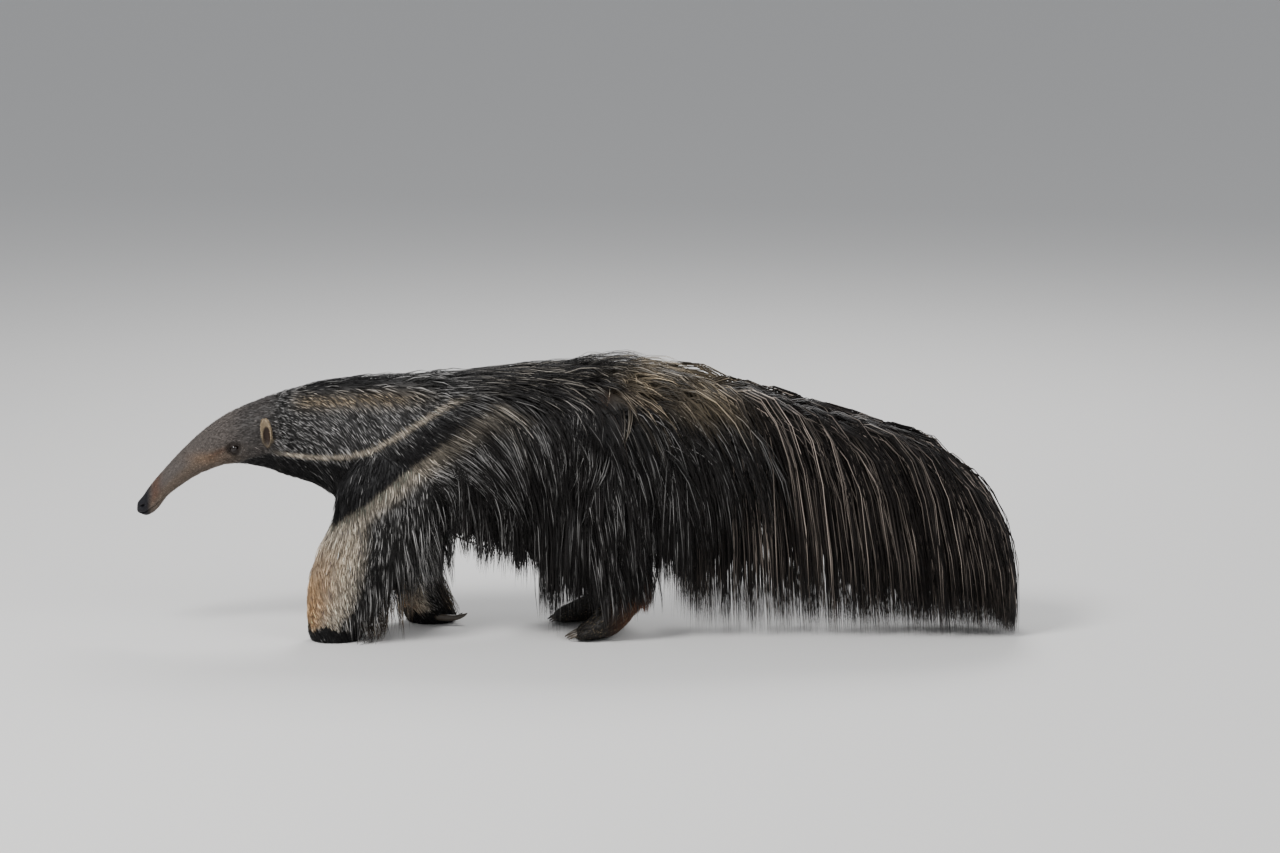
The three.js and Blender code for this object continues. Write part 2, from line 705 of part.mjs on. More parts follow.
// A neighbour is cut back to a part's swollen copy, with the part itself added where facets turn inwards.
const torso = torsoSolid();
const torsoSpace = torsoSolid(GAP).add(torso);
const neck = largest(neckSolid().subtract(torsoSpace));
const neckSpace = neckSolid(GAP).add(neck);
const head = largest(headSolid().subtract(neckSpace));
const headSpace = headSolid(GAP).add(head);

addNode("torso", torso, COATS.dark);
addNode("neck", neck, COATS.grizzled);
addNode("head", head, COATS.head);
for (const [name, side] of [["left", -1], ["right", 1]]) {
  addNode(`eye_${name}`, eyeSolid(side), COATS.eye);
  addNode(`ear_${name}`, largest(earSolid(side).subtract(headSpace).subtract(neckSpace)), COATS.ear);
}

const tail = fuse([loft(DOCK, { sides: 10, steps: 1 }), ...tailLocks(0)]);
addNode("tail", largest(tail.subtract(torsoSpace)), COATS.tail);

const LIMBS = [
  {
    name: "foreleg_left", footName: "forefoot_left", leg: LEFT_FORELEG, foot: LEFT_FOREFOOT, side: -1, y: FORE_Y,
    cut: { top: [-600, 38], bottom: [-400, 38] }, locks: forelegLocks, seed: 31, claws: FORE_CLAWS, clawOf: foreClaw,
    coats: [COATS.pale, COATS.dark],
  },
  {
    name: "foreleg_right", footName: "forefoot_right", leg: RIGHT_FORELEG, foot: RIGHT_FOREFOOT, side: 1, y: FORE_Y,
    cut: { top: [-600, 38], bottom: [-200, 38] }, locks: forelegLocks, seed: 37, claws: FORE_CLAWS, clawOf: foreClaw,
    coats: [COATS.pale, COATS.dark],
  },
  {
    name: "hindleg_left", footName: "hindfoot_left", leg: LEFT_HINDLEG, foot: LEFT_HINDFOOT, side: -1, y: HIND_Y,
    cut: { top: [50, 90], bottom: [190, 122] }, locks: thighLocks, seed: 41, claws: HIND_CLAWS, clawOf: hindClaw,
    coats: [COATS.dark, COATS.dark],
  },
  {
    name: "hindleg_right", footName: "hindfoot_right", leg: RIGHT_HINDLEG, foot: RIGHT_HINDFOOT, side: 1, y: HIND_Y,
    cut: { top: [0, 82], bottom: [150, 82] }, locks: thighLocks, seed: 43, claws: HIND_CLAWS, clawOf: hindClaw,
    coats: [COATS.dark, COATS.dark],
  },
];

for (const part of LIMBS) {
  const centreY = part.side * part.y;
  const whole = limb(part.leg, part.foot, centreY);
  const wholeSpace = limb(part.leg, part.foot, centreY, GAP);
  // The cut runs from front to rear, so its tailward side is the foot below it.
  const foot = largest(cutAt(whole, part.cut, -1));
  const footSpace = cutAt(wholeSpace, part.cut, -1, GAP / 2 - GAP).add(foot);
  const upper = cutAt(whole, part.cut, 1);
  const leg = fuse([upper, ...part.locks(part.leg, part.side, part.seed, 0)]);
  addNode(part.name, largest(leg.subtract(torsoSpace).subtract(neckSpace).subtract(footSpace)), part.coats[0]);
  addNode(part.footName, foot, part.coats[1]);
  for (const one of part.claws) {
    const horn = part.clawOf(part.foot, part.side, one);
    addNode(`claw_${part.footName}_${one.digit}`, largest(horn.subtract(footSpace)), COATS.claw);
  }
}

// Welds a solid until nothing changes, and drops each hollow or scrap that the weld pinches off.
function settled(body) {
  let now = largest(body);
  for (let round = 0; round < 6; round++) {
    const again = largest(solidOf(geometryOf(now)));
    if (again.numTri() === now.numTri()) return again;
    now = again;
  }
  return now;
}

// The origin is at the middle of the underside of the whole model's box.
const box = fuse(nodes.map((node) => node.body)).boundingBox();
const shift = [-(box.min[0] + box.max[0]) / 2, -(box.min[1] + box.max[1]) / 2, -box.min[2]];
for (const { name, body, coat } of nodes) {
  const mesh = new THREE.Mesh(geometryOf(settled(body.translate(shift))), coat);
  mesh.name = name;
  group.add(mesh);
}

export default group;
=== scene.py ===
# A giant anteater, life size, in mid step: one skin under a coat of solid tufts, with eyes and claws apart.
# Shapes are worked out in millimetres in the animal's own frame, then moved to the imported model's frame.
import math
from collections import namedtuple
from functools import partial

import bmesh
import bpy
import numpy as np
from mathutils import Matrix, Vector
from mathutils.bvhtree import BVHTree


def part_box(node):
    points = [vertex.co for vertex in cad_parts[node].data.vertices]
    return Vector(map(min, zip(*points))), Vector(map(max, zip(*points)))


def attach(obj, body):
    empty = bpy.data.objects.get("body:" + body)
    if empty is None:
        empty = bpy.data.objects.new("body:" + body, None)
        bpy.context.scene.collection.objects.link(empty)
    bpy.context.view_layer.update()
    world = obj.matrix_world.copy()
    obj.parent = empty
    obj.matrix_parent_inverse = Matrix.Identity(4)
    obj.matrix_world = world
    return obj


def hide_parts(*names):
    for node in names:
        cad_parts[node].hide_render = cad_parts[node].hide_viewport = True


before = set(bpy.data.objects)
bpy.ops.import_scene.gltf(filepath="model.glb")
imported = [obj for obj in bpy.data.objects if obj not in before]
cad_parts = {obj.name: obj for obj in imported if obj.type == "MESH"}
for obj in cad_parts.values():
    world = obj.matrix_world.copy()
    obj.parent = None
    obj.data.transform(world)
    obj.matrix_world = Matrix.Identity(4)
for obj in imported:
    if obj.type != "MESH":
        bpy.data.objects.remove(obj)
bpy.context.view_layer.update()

# Sizes

EYE_AT = np.array([-717.0, 41.0, 402.0])
EYE_RADIUS = 8.5
FORE_Y = 92.0
HIND_Y = 86.0
COAT_SCALE = 1.0
PIECE_LIMIT = 190000
SIDES = {"left": -1, "right": 1}
TURN = 2 * math.pi

low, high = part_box("eye_left")
SHIFT = (np.array(low) + np.array(high)) / 2 - EYE_AT * (1, -1, 1) / 1000
rng = np.random.default_rng(11)


def to_world(points):
    return np.asarray(points, float) / 1000 + SHIFT


def unit(v):
    return v / (np.linalg.norm(v, axis=-1, keepdims=True) + 1e-12)


def ease(x, low_end, high_end):
    """Goes smoothly from 0 at low_end to 1 at high_end."""
    t = np.clip((x - low_end) / (high_end - low_end), 0, 1)
    return t * t * (3 - 2 * t)


def bell(x, centre, half):
    return np.exp(-(((x - centre) / half) ** 2))


def level_on(line, x):
    return np.interp(x, line[:, 0], line[:, 1])


def in_island(island, a, b):
    """The unwrap at the shares a and b of an island's two sides."""
    x0, y0, x1, y1 = island
    return np.stack(np.broadcast_arrays(x0 + (x1 - x0) * a, y0 + (y1 - y0) * b), -1)


# Sections of the body: top point, bottom point, half width and how deep the coat is there.

TRUNK = [
    (-930, 266, -924, 255, 6.5, 0.3), (-928, 279, -908, 251, 14.5, 0.4), (-917, 293, -887, 264, 20.5, 0.6),
    (-897, 321, -863, 293, 21.5, 1.2), (-869, 354, -833, 316, 25, 1.6), (-837, 389, -801, 336, 29, 2),
    (-801, 424, -769, 350, 34, 2.5), (-768, 451, -742, 359, 41, 3), (-735, 472, -719, 362, 48, 3),
    (-703, 488, -697, 360, 53, 3.5), (-666, 504, -668, 355, 56, 4.5), (-634, 517, -640, 346, 59, 6),
    (-594, 530, -600, 330, 63, 8), (-530, 546, -553, 314, 73, 9), (-462, 552, -514, 290, 88, 9),
    (-392, 554, -455, 243, 108, 9), (-310, 559, -355, 222, 122, 8), (-210, 567, -235, 218, 128, 8),
    (-100, 571, -115, 219, 131, 8), (0, 578, 0, 226, 132, 8), (90, 580, 95, 242, 127, 8),
    (165, 560, 165, 272, 110, 8), (220, 524, 212, 330, 82, 8), (247, 484, 240, 392, 42, 8),
]
DOCK = [
    (190, 520, 190, 420, 46, 6), (285, 518, 276, 440, 38, 6), (412, 486, 398, 422, 32, 5),
    (531, 450, 512, 394, 27, 4), (640, 413, 618, 366, 22, 4), (740, 366, 716, 328, 18, 3),
    (820, 312, 800, 284, 13, 3), (868, 264, 858, 250, 7, 1),
]
LEGS = {
    "fore_left": [
        (-425, 425, -285, 412, 12, 9), (-498, 340, -275, 310, 56, 9), (-514, 262, -306, 230, 64, 9),
        (-542, 205, -330, 170, 63, 9), (-562, 150, -362, 118, 58, 9), (-570, 100, -400, 76, 52, 8),
        (-570, 62, -432, 48, 48, 6), (-567, 36, -450, 28, 45, 4), (-563, 12, -454, 10, 43, 2.5),
        (-556, 0.5, -461, 0.5, 38, 1),
    ],
    "fore_right": [
        (-405, 425, -265, 412, 12, 9), (-455, 340, -240, 310, 56, 9), (-452, 262, -250, 235, 64, 9),
        (-440, 205, -266, 178, 60, 9), (-424, 150, -274, 130, 55, 9), (-406, 100, -276, 90, 50, 8),
        (-390, 62, -270, 52, 46, 6), (-378, 36, -263, 28, 45, 4), (-370, 12, -262, 10, 43, 2.5),
        (-361, 0.5, -269, 0.5, 38, 1),
    ],
    "hind_left": [
        (-40, 430, 190, 430, 36, 12), (-48, 340, 196, 340, 60, 14), (-34, 270, 188, 268, 62, 14),
        (4, 215, 178, 205, 53, 12), (44, 168, 171, 152, 43, 8), (68, 130, 164, 118, 37, 6),
        (86, 100, 154, 92, 33, 5),
    ],
    "hind_right": [
        (-55, 430, 170, 430, 36, 12), (-68, 340, 168, 340, 60, 14), (-62, 270, 152, 268, 62, 14),
        (-42, 215, 132, 205, 53, 12), (-14, 160, 118, 150, 44, 8), (12, 115, 109, 105, 37, 6),
        (26, 76, 106, 66, 34, 5),
    ],
}
HIND_FEET = {
    "hind_left": [
        (136, 134, 160, 102, 24, 5), (102, 124, 148, 72, 33, 5), (78, 94, 122, 40, 37, 4),
        (54, 66, 88, 10, 40, 3), (32, 46, 50, 0.5, 43, 2.5), (14, 33, 22, 0.5, 42, 2), (3, 19, 7, 3, 34, 1.5),
    ],
    "hind_right": [
        (98, 62, 108, 12, 26, 5), (72, 78, 82, 0.5, 35, 4), (38, 66, 42, 0.5, 38, 3),
        (4, 48, 8, 0.5, 41, 2.5), (-26, 35, -24, 0.5, 43, 2), (-44, 20, -43, 3, 35, 1.5),
    ],
}


class Tube:
    """A round form through sections. u counts sections, v goes once round from the top by way of +Y."""

    def __init__(self, rows, centre_y, island, egg=0.0):
        self.rows = np.array(rows, float)
        self.slopes = np.gradient(self.rows, axis=0)
        self.centre_y = centre_y
        self.island = island
        self.egg = egg
        self.last = len(rows) - 1

    def section(self, u):
        u = np.clip(u, 0, self.last - 1e-9)
        i = np.floor(u).astype(int)
        f = (u - i)[:, None]
        return (
            (2 * f**3 - 3 * f**2 + 1) * self.rows[i]
            + (f**3 - 2 * f**2 + f) * self.slopes[i]
            + (3 * f**2 - 2 * f**3) * self.rows[i + 1]
            + (f**3 - f**2) * self.slopes[i + 1]
        )

    def at(self, u, v):
        u, v = np.broadcast_arrays(np.asarray(u, float), np.asarray(v, float))
        s = self.section(u.ravel())
        angle = TURN * v.ravel()
        across = s[:, 0:2] - s[:, 2:4]
        length = np.linalg.norm(across, axis=1)
        depth = s[:, 5]
        rise = (length / 2 - depth) * (np.cos(angle) - self.egg * np.sin(angle) ** 2)
        spot = (s[:, 0:2] + s[:, 2:4]) / 2 + across / length[:, None] * rise[:, None]
        y = self.centre_y + (s[:, 4] - depth) * np.sin(angle)
        return np.stack([spot[:, 0], y, spot[:, 1]], 1).reshape(u.shape + (3,))

    def middle(self, u):
        return (self.at(u, 0.25) + self.at(u, 0.75)) / 2

    def frames(self, u, v):
        """Point, outward normal, tangent along the form and tangent down round it."""
        p = self.at(u, v)
        step = 0.01
        along = unit(self.at(np.minimum(u + step, self.last), v) - self.at(np.maximum(u - step, 0), v))
        around = unit(self.at(u, v + step / 5) - self.at(u, v - step / 5))
        normal = unit(np.cross(around, along))
        normal[np.sum(normal * (p - self.at(u, v + 0.5)), -1) < 0] *= -1
        return p, normal, along, np.where((v % 1 < 0.5)[..., None], around, -around)

    def scale(self, u):
        """Millimetres for one section along and for one turn round, near u."""
        lowest, highest = np.maximum(u - 0.2, 0), np.minimum(u + 0.2, self.last)
        along = np.linalg.norm(self.middle(highest) - self.middle(lowest), axis=-1) / (highest - lowest)
        top, flank = self.at(u, 0.0), self.at(u, 0.25)
        centre = (top + self.at(u, 0.5)) / 2
        radius = (np.linalg.norm(top - centre, axis=-1) + np.linalg.norm(flank - centre, axis=-1)) / 2
        return np.maximum(along, 1e-3), TURN * np.maximum(radius, 1e-3)

    def uv(self, u, v):
        return in_island(self.island, u / self.last, v % 1)


trunk = Tube(TRUNK, 0.0, (0.01, 0.52, 0.99, 0.99), egg=0.05)
dock = Tube(DOCK, 0.0, (0.01, 0.40, 0.40, 0.50))
tubes = {"trunk": trunk, "dock": dock}
for place, name in enumerate(LEGS):
    centre = SIDES[name.split("_")[1]] * (FORE_Y if name.startswith("fore") else HIND_Y)
    left = 0.01 + 0.245 * place
    tubes[name] = Tube(LEGS[name], centre, (left, 0.2, left + 0.235, 0.38))
    if name in HIND_FEET:
        tubes[name + "_foot"] = Tube(HIND_FEET[name], centre, (left, 0.04, left + 0.235, 0.18))

# Meshes


def linked(name, data):
    """A new object in the scene."""
    made = bpy.data.objects.new(name, data)
    bpy.context.scene.collection.objects.link(made)
    return made


def set_unwrap(mesh, corners):
    layer = mesh.uv_layers.new(name="OFBake")
    layer.data.foreach_set("uv", corners.astype(np.float32).ravel())


def set_tint(mesh, colours):
    layer = mesh.color_attributes.new("Tint", "FLOAT_COLOR", "POINT")
    rgba = np.ones((len(colours), 4), np.float32)
    rgba[:, :3] = np.clip(colours, 0, 1)
    layer.data.foreach_set("color", rgba.ravel())


def set_smooth(mesh):
    mesh.polygons.foreach_set("use_smooth", np.ones(len(mesh.polygons), bool))


def closed_form(name, grid, ends, unwrap=None):
    """A closed object through rings of points with a hub at each end; unwrap has a row for each of them."""
    rings, columns, _ = grid.shape
    hub = rings * columns
    around = [(k, (k + 1) % columns) for k in range(columns)]
    faces = []
    for r in range(0, hub - columns, columns):
        faces += [(r + k, r + n, r + columns + n, r + columns + k) for k, n in around]
    faces += [(hub, n, k) for k, n in around]
    faces += [(hub + 1, hub - columns + k, hub - columns + n) for k, n in around]
    mesh = bpy.data.meshes.new(name)
    mesh.from_pydata(to_world(np.concatenate([grid.reshape(-1, 3), ends])).tolist(), [], faces)
    if unwrap is not None:
        left, right = unwrap[:, :-1], unwrap[:, 1:]
        middle = (left + right) / 2
        quads = np.stack([left[1:-2], right[1:-2], right[2:-1], left[2:-1]], 2)
        first = np.stack([middle[0], right[1], left[1]], 1)
        final = np.stack([middle[-1], left[-2], right[-2]], 1)
        set_unwrap(mesh, np.concatenate([part.reshape(-1, 2) for part in (quads, first, final)]))
    bm = bmesh.new()
    bm.from_mesh(mesh)
    bmesh.ops.recalc_face_normals(bm, faces=bm.faces)
    bm.to_mesh(mesh)
    bm.free()
    return linked(name, mesh)


# Ears: an upright oval leaf turned forward, hollowed on its outer face. tau runs from the back over the rim.

EAR_AT = np.array([-647.0, 62.0, 438.0])
EAR_HALF = (14.0, 33.0)
EAR_LEAN = 0.24
EAR_YAW = 0.3
EAR_PROFILE = np.array(
    [
        (0.0, -9.0), (0.45, -8.2), (0.8, -5.6), (0.97, -2.4), (1.0, 0.2), (0.95, 1.8),
        (0.86, 1.2), (0.72, -1.2), (0.5, -3.6), (0.25, -4.8), (0.0, -5.2),
    ]
)
EAR_ISLAND = {-1: (0.42, 0.41, 0.68, 0.5), 1: (0.7, 0.41, 0.96, 0.5)}


def ear_axes(side):
    lean, yaw = Matrix.Rotation(-side * EAR_LEAN, 3, "X"), Matrix.Rotation(side * EAR_YAW, 3, "Z")
    return np.array(yaw) @ np.array(lean)


def ear_at(side, tau, theta):
    tau, theta = np.broadcast_arrays(tau, theta)
    steps = np.linspace(0, 1, len(EAR_PROFILE))
    reach = np.interp(tau, steps, EAR_PROFILE[:, 0])
    out = np.interp(tau, steps, EAR_PROFILE[:, 1])
    breadth = EAR_HALF[0] * (0.86 + 0.14 * np.sin(theta))
    spots = np.stack([reach * breadth * np.cos(theta), side * out, reach * EAR_HALF[1] * np.sin(theta)], -1)
    return EAR_AT * (1, side, 1) + spots @ ear_axes(side).T


def ear_uv(side, tau, theta):
    return in_island(EAR_ISLAND[side], tau, theta / TURN)


def ear_object(side):
    rings, columns = 24, 36
    taus = np.linspace(0, 1, rings + 2)[:, None]
    thetas = TURN * np.arange(columns + 1) / columns
    grid = ear_at(side, taus[1:-1], thetas[None, :-1])
    poles = ear_at(side, np.array([0.0, 1.0]), np.zeros(2))
    return closed_form("ear", grid, poles, ear_uv(side, taus, thetas))


# Skin

HEAD_SECTIONS = 10.5


def tube_object(name, tube, spacing, columns, dome=0.0):
    """A closed object of a tube with rings as far apart as spacing says. dome rounds off its first end."""
    us = [0.0]
    step = 0.02
    while us[-1] < tube.last:
        here = np.array([us[-1]])
        length = np.linalg.norm(tube.middle(here + step) - tube.middle(here))
        us.append(us[-1] + step * spacing(us[-1]) / max(length, 1e-6))
    us[-1] = float(tube.last)
    us = np.array(us)
    grid = tube.at(us[:, None], (np.arange(columns) / columns)[None, :])
    ends = [grid[0].mean(0), grid[-1].mean(0)]
    if dome:
        bulge = unit(ends[0] - grid[6].mean(0)) * dome
        ends[0] = ends[0] + bulge
        cap_rings = [0.35, 0.6, 0.8, 0.92]
        cap = [ends[0] * (1 - t**2) + grid[0] * t**2 + bulge * (t**2 - t**4) * 0.6 for t in cap_rings]
        grid = np.concatenate([cap, grid])
        us = np.concatenate([np.zeros(len(cap_rings)), us])
    shares = np.concatenate([us[:1], us, us[-1:]])[:, None] / tube.last
    return closed_form(name, grid, ends, in_island(tube.island, shares, np.arange(columns + 1) / columns))


def join_solids(base, others):
    for other in others:
        union = base.modifiers.new("union", "BOOLEAN")
        union.operation = "UNION"
        union.solver = "MANIFOLD"
        union.object = other
        bpy.context.view_layer.objects.active = base
        bpy.ops.object.modifier_apply(modifier=union.name)
        bpy.data.objects.remove(other)


skin = tube_object("skin", trunk, lambda u: 2.2 if u < HEAD_SECTIONS else 6.0, 120, dome=2.5)
others = [tube_object("dock", dock, lambda u: 8.0, 28)]
for name, tube in tubes.items():
    if name.startswith(("fore", "hind")):
        others.append(tube_object(name, tube, lambda u: 5.0, 64))
others += [ear_object(side) for side in (-1, 1)]
join_solids(skin, others)


def local_points(obj):
    co = np.empty(len(obj.data.vertices) * 3, np.float32)
    obj.data.vertices.foreach_get("co", co)
    return (co.reshape(-1, 3).astype(float) - SHIFT) * 1000


# Face and toes: fine mesh round the eyes, nostrils and mouth, then the folds there are pushed into shape.

NOSTRIL = np.array([-917.0, 12.5, 273.0])
MOUTH_LINE = np.array([(-925, 258), (-912, 259), (-898, 268), (-884, 280), (-872, 291)], float)
TOE_PITCH = 14.5
TOE_FRONT = {"left": 3.0, "right": -44.0}


def refine_face():
    spots = [(Vector(to_world(EYE_AT * (1, side, 1))), 0.026) for side in (-1, 1)]
    spots.append((Vector(to_world((-908, 0, 272))), 0.036))
    bm = bmesh.new()
    bm.from_mesh(skin.data)
    near = {v for v in bm.verts if any((v.co - spot).length < reach for spot, reach in spots)}
    edges = [e for e in bm.edges if near.issuperset(e.verts)]
    bmesh.ops.subdivide_edges(bm, edges=edges, cuts=2, use_grid_fill=True)
    bm.to_mesh(skin.data)
    bm.free()


def line_distance(points, line):
    """Distance of 2-D points to a bent line, and how far along it they lie from 0 to 1."""
    best = np.full(points.shape[:-1], 1e9)
    share = np.zeros(best.shape)
    spans = np.linalg.norm(np.diff(line, axis=0), axis=1)
    starts = np.concatenate([[0], np.cumsum(spans)])
    for i in range(len(line) - 1):
        d = line[i + 1] - line[i]
        t = np.clip(((points - line[i]) @ d) / (d @ d), 0, 1)
        gap = np.linalg.norm(points - (line[i] + t[..., None] * d), axis=-1)
        closer = gap < best
        best = np.where(closer, gap, best)
        share = np.where(closer, (starts[i] + t * spans[i]) / starts[-1], share)
    return best, share


def turned(x, z, degrees):
    """Side-view offsets in axes turned by so many degrees."""
    angle = math.radians(degrees)
    return x * math.cos(angle) + z * math.sin(angle), -x * math.sin(angle) + z * math.cos(angle)


def shape_eye(r, side):
    """Moves points, given from the eye's centre, round an almond that slopes down towards the nose."""
    a, b = turned(r[:, 0], r[:, 2], 24)
    half_length, half_height = 9.8, 5.6
    half = half_height * np.sqrt(np.clip(1 - (a / half_length) ** 2, 0, 1))
    inside = ease(half - np.abs(b - 0.4), -0.5, 0.4) * (np.abs(a) < half_length)
    flat = np.hypot(a, b)
    lid_radius = EYE_RADIUS + 1.5 - 0.5 * np.abs(b) / 9
    lid_level = np.where(flat < lid_radius, np.sqrt(np.clip(lid_radius**2 - flat**2, 0, None)), 0)
    y = r[:, 1] * side
    y = y + ease(flat, 13.5, 8.5) * (np.maximum(lid_level, y) - y)
    # A soft fold over the upper lid and a shallow hollow in front of the eye.
    y -= 1.1 * bell(np.hypot(a * 0.8, b - 1), 12.5, 1.4) * (b > -4)
    y -= 1.6 * bell(a, -15, 6) * bell(b, -2, 5)
    socket_radius = 6
    socket = np.sqrt(np.clip(socket_radius**2 - flat**2, 0, None)) + 0.5
    y = y * (1 - inside) + inside * np.minimum(y, socket)
    r[:, 1] = y * side
    return r


def shape_face(points):
    """Presses in the eyes, nostrils and mouth."""
    for side in (-1, 1):
        rel = points - EYE_AT * (1, side, 1)
        near = (np.linalg.norm(rel, axis=1) < 26) & (rel[:, 1] * side > -2)
        rel[near] = shape_eye(rel[near], side)
        points = EYE_AT * (1, side, 1) + rel
        hole = points - NOSTRIL * (1, side, 1)
        p, q = turned(hole[:, 0], hole[:, 2], 35)
        comma = np.exp(-((p / 5.2) ** 2 + ((q - 0.12 * p**2 / 5) / 2.1) ** 2)) * (np.abs(hole[:, 1]) < 12)
        points[:, 1] -= side * 6.5 * comma
        points[:, 0] += 2.0 * comma
    gap, share = line_distance(points[:, [0, 2]], MOUTH_LINE)
    groove = bell(gap, 0, 1.3) * ease(share, 1.0, 0.75)
    lip = bell(gap, 3.2, 1.8) * ease(share, 1.0, 0.6)
    outward = np.sign(points[:, 1]) * np.minimum(np.abs(points[:, 1]) / 6, 1)
    points[:, 1] += outward * (0.7 * lip - 2.2 * groove)
    return points


def shape_toes(points):
    """Parts the front of each hind foot into five toes."""
    for name, side in SIDES.items():
        x, y, z = points.T
        forward = ease(x - TOE_FRONT[name], 46, 12) * (y * side > 0) * (z < 60)
        off = y - side * HIND_Y
        between = (1 - np.cos(TURN * off / TOE_PITCH)) / 2 * (np.abs(off) < 36)
        points[:, 0] = x + 9 * forward * between * ease(x - TOE_FRONT[name], 30, 0)
        points[:, 2] = z * (1 - 0.34 * forward * between)
    return points


refine_face()
shaped = shape_toes(shape_face(local_points(skin)))
skin.data.vertices.foreach_set("co", to_world(shaped).astype(np.float32).ravel())
skin.data.update()
tree = BVHTree.FromPolygons(local_points(skin).tolist(), [tuple(p.vertices) for p in skin.data.polygons])

# Markings: light and dark bands are lines in the side view, the same on both sides.

BLACK_TOP = np.array([(-716, 366), (-682, 384), (-645, 394)], float)
WHITE_LINE = np.array(
    [
        (-645, 397), (-597, 390), (-537, 386), (-476, 391), (-423, 407),
        (-360, 442), (-309, 474), (-257, 505), (-206, 523),
    ],
    float,
)
THROAT_LINE = np.concatenate([BLACK_TOP, WHITE_LINE[1:]])
CHEST_LINE = np.array(
    [
        (-500, 250), (-470, 276), (-440, 292), (-411, 318), (-360, 356),
        (-309, 395), (-257, 434), (-206, 468), (-154, 507),
    ],
    float,
)
CREST = np.array(
    [
        (-600, 535), (-516, 553), (-435, 566), (-326, 578), (-206, 592), (-104, 598), (-51, 608), (25, 612),
        (90, 618), (135, 616), (206, 590), (281, 566), (341, 550), (412, 524), (471, 500), (531, 485),
        (602, 466), (680, 444), (739, 424), (793, 393), (840, 352), (882, 292), (912, 230), (926, 140),
        (930, 58),
    ],
    float,
)


def rgb(red, green, blue):
    return np.array([red, green, blue])


BLACK = rgb(0.0075, 0.0068, 0.0072)
DARK = rgb(0.0125, 0.011, 0.0105)
CREAM = rgb(0.60, 0.52, 0.41)
TAN = rgb(0.42, 0.235, 0.095)
PEPPER = rgb(0.28, 0.272, 0.264)
# Grey strands on the dark coat: partly pale hair, partly painted sheen.
GREY_AND_SHEEN = rgb(0.17, 0.165, 0.16)
BLOND = rgb(0.34, 0.27, 0.18)
BROWN = rgb(0.060, 0.040, 0.028)
RUST = rgb(0.095, 0.038, 0.018)
SNOUT_GREY = rgb(0.115, 0.098, 0.088)
SNOUT_BROWN = rgb(0.155, 0.118, 0.090)
JAW = rgb(0.14, 0.11, 0.088)
CHEEK = rgb(0.24, 0.155, 0.098)
TEMPLE = rgb(0.062, 0.056, 0.053)
NOSE = rgb(0.010, 0.0095, 0.013)
EYE_SKIN = rgb(0.020, 0.013, 0.010)
# A painted highlight on the lower lid, behind and under the eye.
EYE_LID_HIGHLIGHT = rgb(0.19, 0.17, 0.155)
NECK = rgb(0.016, 0.015, 0.0145)
NECK_SIDE = rgb(0.060, 0.047, 0.033)
SHOULDER = rgb(0.018, 0.017, 0.016)
CROWN = rgb(0.25, 0.22, 0.18)
FORELEG = rgb(0.017, 0.016, 0.015)
TAIL = rgb(0.0100, 0.0078, 0.0070)
# Grey-brown strands of the tail: partly pale hair, partly painted sheen.
TAIL_PALE_AND_SHEEN = rgb(0.190, 0.158, 0.135)
EAR_HAIR = rgb(0.44, 0.345, 0.23)
EAR_SKIN = rgb(0.40, 0.31, 0.20)
EAR_HOLLOW = rgb(0.035, 0.020, 0.013)
EAR_FOOT = rgb(0.07, 0.06, 0.052)
HEAD_MIDDLE = np.array(
    [(-930, 262), (-905, 278), (-850, 330), (-800, 374), (-760, 392), (-717, 402), (-690, 410)], float
)


def blend(a, b, t):
    t = np.asarray(t)[..., None]
    return a * (1 - t) + b * t


class Paint:
    """The base colour at each point, the share of pale hairs there, and the pale hairs' colour."""

    def __init__(self, shape, base, light, pale):
        self.base = np.zeros(shape) + base
        self.light = np.zeros(shape) + light
        self.pale = np.zeros(shape[:-1]) + pale

    def mix(self, t, base=None, light=None, pale=None):
        """Draws each of the three that is named towards its new value by the share t."""
        if base is not None:
            self.base = blend(self.base, base, t)
        if light is not None:
            self.light = blend(self.light, light, t)
        if pale is not None:
            self.pale = self.pale * (1 - t) + pale * t

    def put(self, rows, other):
        self.base[rows], self.light[rows], self.pale[rows] = other.base, other.light, other.pale


def head_colours(p):
    x, y, z = np.moveaxis(p, -1, 0)
    above = z - level_on(HEAD_MIDDLE, x)
    eye = np.hypot((x - EYE_AT[0]) * 0.85, z - EYE_AT[2])
    base = blend(SNOUT_GREY, SNOUT_BROWN, ease(above, 16, -8))
    layers = [
        (JAW, 0.7 * ease(above, -14, -30) * ease(x, -700, -780)),
        (CHEEK, 0.7 * bell(x, -778, 34) * bell(z, 378, 13)),
        (RUST, 0.55 * bell(x, -752, 22) * bell(z - (x + 752) * 0.55, 392, 6)),
        (TEMPLE, 0.9 * ease(x, -745, -680)),
        (RUST * 1.2, 0.6 * bell(x, -888, 12) * ease(above, -18, 6)),
        (NOSE, ease(x, -893, -908)),
        (EYE_SKIN, 0.92 * ease(eye, 19, 10.5)),
        # Painted highlight along the lower lid behind the eye.
        (EYE_LID_HIGHLIGHT, 0.6 * bell(eye, 15.5, 2.6) * ease(x, -712, -704) * ease(z, 408, 400)),
    ]
    for colour, share in layers:
        base = blend(base, colour, share)
    return base


